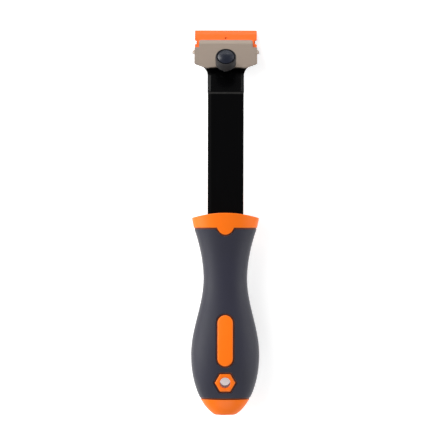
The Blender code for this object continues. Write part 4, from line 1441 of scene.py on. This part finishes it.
class SCRAPER_OT_blade(Operator):
    """Model the double-edged plastic blade"""

    bl_idname = "scraper.blade"
    bl_label = "Blade"

    def execute(self, context):
        scene = context.scene
        head, bar = scene.scraper_head, scene.scraper_bar
        reach = head.blade[1] / 2
        flat = reach - head.blade_bevel
        thick = head.blade_thickness / 2
        tip = head.blade_tip / 2
        outline = [(-flat, -thick), (flat, -thick), (reach, -tip), (reach, tip)]
        outline += [(flat, thick), (-flat, thick), (-reach, tip), (-reach, -tip)]
        half = head.blade[0] / 2
        blade = loft("scraper_blade_shell", [[(x, y, z) for y, z in outline] for x in (-half, half)])
        through = 2 * head.blade_thickness
        for side in (1, -1):
            cut(blade, prism("notch", notch_outline(head, side), -through, through))
            hole = Matrix.Translation((0.0, side * head.pinhole_offset, 0.0))
            cut(blade, rod("pinhole", head.pinhole_radius, 2 * through, hole))
        round_corners(blade, head.blade_edge, head.blade_turn, segments=2)
        level = head_levels(head, bar)["blade_middle"]
        place = shift(head_placement(), y=head.screw_to_blade + reach, z=level)
        finish = blade_plastic(scene.scraper_colours)
        settle(blade, place, "blade", finish, ["scraper_blade"])
        return {"FINISHED"}


class SCRAPER_OT_plate(Operator):
    """Model the pressed clamp plate with its lip and ears"""

    bl_idname = "scraper.plate"
    bl_label = "Clamp plate"

    def execute(self, context):
        scene = context.scene
        head, bar = scene.scraper_head, scene.scraper_bar
        plate = strip("clamp_plate_shell", plate_blank(head))
        lip_edge = head.screw_to_blade + head.blade[1] / 2 + head.lip_past_centre
        lip = (lip_edge - head.lip_length, head.lip_bend, head.lip_angle)
        slice_across(plate, AHEAD, bend_places(*lip, LIP_ROWS))
        ear = (plate_half(head), head.ear_bend, math.pi / 2)
        sides = [Vector((side, 0.0, 0.0)) for side in (1.0, -1.0)]
        for side in sides:
            slice_across(plate, side, bend_places(*ear, EAR_ROWS))
        apply_modifier(plate, "SOLIDIFY", thickness=head.sheet, offset=0.0)
        fold_down(plate, AHEAD, *lip)
        for side in sides:
            fold_down(plate, side, *ear)
        cut(plate, rod("screw_hole", head.screw_radius + head.gap, 4 * head.sheet, Matrix.Identity(4)))
        round_corners(plate, head.plate_edge, head.plate_turn, segments=3)
        place = shift(head_placement(), z=head_levels(head, bar)["plate_middle"])
        settle(plate, place, "clamp", warm_plating(scene.scraper_colours), ["clamp_plate"])
        return {"FINISHED"}


class SCRAPER_OT_knob(Operator):
    """Model the thumb knob and its domed cap"""

    bl_idname = "scraper.knob"
    bl_label = "Knob"

    def execute(self, context):
        scene = context.scene
        head = scene.scraper_head
        floor = head_levels(head, scene.scraper_bar)["pocket_top"]
        edges = dict.fromkeys((1, 2, 5), head.knob_fine_edge)
        edges.update({3: head.knob_band_edge, 4: head.knob_edge})
        knob = turned("thumb_knob_shell", knob_profile(head, floor), KNOB_STEPS, closed=True, edges=edges)
        corners = arc((0.0, 0.0), (head.screw_flats + 2 * head.gap) / math.sqrt(3), 0, 300, 5)
        cut(knob, prism("screw_pocket", corners, head.knob_floor, head.knob_height))
        place = head_placement()
        settle(knob, place, "knob", knob_plastic(scene.scraper_colours), ["thumb_knob"])
        dome = cap_profile(head, floor + head.gap)
        cap = turned("knob_cap_shell", dome, KNOB_STEPS, edges={1: head.cap_edge})
        settle(cap, place, "knob", cap_plastic(scene.scraper_colours), ["knob_cap"])
        return {"FINISHED"}


class SCRAPER_OT_fasteners(Operator):
    """Model the screw, the nut, the washer and the stop rivets"""

    bl_idname = "scraper.fasteners"
    bl_label = "Fasteners"

    def execute(self, context):
        scene = context.scene
        head, bar = scene.scraper_head, scene.scraper_bar
        place = head_placement()
        levels = head_levels(head, bar)
        zinc = zinc_plating(scene.scraper_colours)

        foot, top = levels["head_foot"], levels["head_top"]
        rings = list(reversed(chamfered_hexagon(head.screw_flats, foot, top, SCREW_STEPS)))
        screw = loft("knob_screw_shell", rings + threaded_rings(head, foot, levels["screw_end"]))
        black = blackened_steel(scene.scraper_colours)
        settle(screw, place, "knob", black, ["knob_screw"], smooth=50)

        rings = nut_rings(head, levels["nut_top"], levels["nut_foot"])
        nut = loft("press_nut_shell", rings, closed=True)
        settle(nut, place, "bar", zinc, ["press_nut"], smooth=20)

        bore, rim = head.screw_radius + head.gap, head.washer_radius
        foot, top = levels["washer_foot"], levels["washer_top"]
        profile = [(bore, top), (rim, top), (rim, foot), (bore, foot)]
        edges = dict.fromkeys((1, 2), head.washer_edge)
        washer = turned("thrust_washer_shell", profile, WASHER_STEPS, closed=True, edges=edges)
        settle(washer, place, "clamp", zinc, ["thrust_washer"])

        edges = {1: head.rivet_edge, 7: head.rivet_tip_edge}
        rivet = turned("stop_rivet_left_shell", rivet_profile(head, levels), RIVET_STEPS, edges=edges)
        rivets = {"left": rivet, "right": copied(rivet, "stop_rivet_right_shell")}
        for side, (x, y) in rivet_spots(head).items():
            settle(rivets[side], shift(place, x, y), "bar", zinc, ["stop_rivet_" + side])
        return {"FINISHED"}


def softbox(name, place, aim, width, height, strength):
    """Large soft lamp that faces a point, with its strength as the brightness of its face."""
    lamp = bpy.data.lights.new(name, "AREA")
    lamp.shape = "RECTANGLE"
    lamp.size = width
    lamp.size_y = height
    lamp.energy = strength * width * height * math.pi
    item = bpy.data.objects.new(name, lamp)
    bpy.context.scene.collection.objects.link(item)
    item.location = place
    item.rotation_euler = (Vector(aim) - Vector(place)).to_track_quat("-Z", "Y").to_euler()


def seen_rays(nodes):
    """One for rays that show the background itself: from the camera, and by reflection or through glass."""
    path = nodes.add("LightPath").outputs
    first = nodes.add("Math", {0: path["Is Camera Ray"], 1: path["Is Glossy Ray"]}, operation="MAXIMUM")
    both = nodes.add("Math", {0: first.outputs[0], 1: path["Is Transmission Ray"]}, operation="MAXIMUM")
    return both.outputs[0]


class SCRAPER_OT_stage(Operator):
    """Set the pale floor, the soft studio light and the camera"""

    bl_idname = "scraper.stage"
    bl_label = "Stage"

    def execute(self, context):
        scene = context.scene
        stage = scene.scraper_stage
        self.lay_floor(scene, stage)
        self.light_world(scene, stage)
        groups = ((TOOL_MIDDLE, TOOL_SOFTBOXES), (head_placement().translation, HEAD_SOFTBOXES))
        for aim, boxes in groups:
            for name, (place, width, height) in boxes.items():
                softbox(name + "_softbox", place, aim, width, height, getattr(stage, name))
        lens = bpy.data.cameras.new("photo_camera")
        lens.sensor_width = SENSOR_MM
        lens.lens = SENSOR_MM * PHOTO_FOCAL / PHOTO_WIDTH
        lens.clip_end = CLIP_END
        camera = bpy.data.objects.new("photo_camera", lens)
        scene.collection.objects.link(camera)
        tool = tool_placement(scene.scraper_handle)
        aim = shift(tool, stage.aim_across, stage.aim_along, stage.distance)
        camera.matrix_world = aim @ Matrix.Rotation(stage.roll, 4, "Z")
        scene.camera = camera
        scene.view_settings.view_transform = "Standard"
        return {"FINISHED"}

    def lay_floor(self, scene, stage):
        """Pale floor that keeps the tool's shadow and looks white where nothing shades it."""
        to_object_mode()
        bpy.ops.mesh.primitive_plane_add(size=FLOOR_SIDE, location=(0.0, 0.0, -FLOOR_DROP))
        floor = bpy.context.object
        floor.name = "floor"
        surface = bpy.data.materials.new("pale_floor")
        surface.use_nodes = True
        nodes = Nodes(surface.node_tree)
        surface.node_tree.nodes.clear()
        pale = nodes.add("BsdfDiffuse", {"Color": (*scene.scraper_colours.floor, 1.0)})
        glow = nodes.add("Math", {0: seen_rays(nodes), 1: stage.floor_glow}, operation="MULTIPLY")
        light = nodes.add("Emission", {"Strength": glow.outputs[0]})
        both = nodes.add("AddShader", {0: pale.outputs[0], 1: light.outputs[0]})
        nodes.add("OutputMaterial", {"Surface": both.outputs[0]})
        floor.data.materials.append(surface)

    def light_world(self, scene, stage):
        """White all round where it is seen, and a plain soft light on the tool."""
        world = bpy.data.worlds.new("studio")
        world.use_nodes = True
        scene.world = world
        world.node_tree.nodes.clear()
        nodes = Nodes(world.node_tree)
        strength = nodes.add("MapRange", {"Value": seen_rays(nodes), "To Min": stage.ambient, "To Max": 1.0})
        white = nodes.add("Background", {"Color": (1.0, 1.0, 1.0, 1.0)})
        nodes.feed(white.inputs["Strength"], strength.outputs["Result"])
        nodes.add("OutputWorld", {"Surface": white.outputs[0]})


class SCRAPER_PT_panel(Panel):
    """List of the scraper's pieces"""

    bl_label = "Long-handled scraper"
    bl_idname = "SCRAPER_PT_panel"
    bl_space_type = "VIEW_3D"
    bl_region_type = "UI"
    bl_category = "Scraper"

    def draw(self, context):
        for operator in PIECES:
            self.layout.operator(operator.bl_idname)


PIECES = (
    SCRAPER_OT_bar,
    SCRAPER_OT_core,
    SCRAPER_OT_grip,
    SCRAPER_OT_blade,
    SCRAPER_OT_plate,
    SCRAPER_OT_knob,
    SCRAPER_OT_fasteners,
    SCRAPER_OT_stage,
)
SETTINGS = {
    "scraper_handle": HandleSizes,
    "scraper_bar": BarSizes,
    "scraper_head": HeadSizes,
    "scraper_colours": FinishColours,
    "scraper_stage": StageSizes,
}


def register():
    """Register the settings, the operators and the panel."""
    for name, group in SETTINGS.items():
        bpy.utils.register_class(group)
        setattr(bpy.types.Scene, name, PointerProperty(type=group))
    for item in (*PIECES, SCRAPER_PT_panel):
        bpy.utils.register_class(item)


def unregister():
    """Take everything out again, in reverse."""
    for item in reversed((*PIECES, SCRAPER_PT_panel)):
        bpy.utils.unregister_class(item)
    for name, group in reversed(SETTINGS.items()):
        delattr(bpy.types.Scene, name)
        bpy.utils.unregister_class(group)


def main():
    """Register the add-on and model each piece in order."""
    register()
    for operator in PIECES:
        group, name = operator.bl_idname.split(".")
        getattr(getattr(bpy.ops, group), name)()


if __name__ == "__main__":
    main()
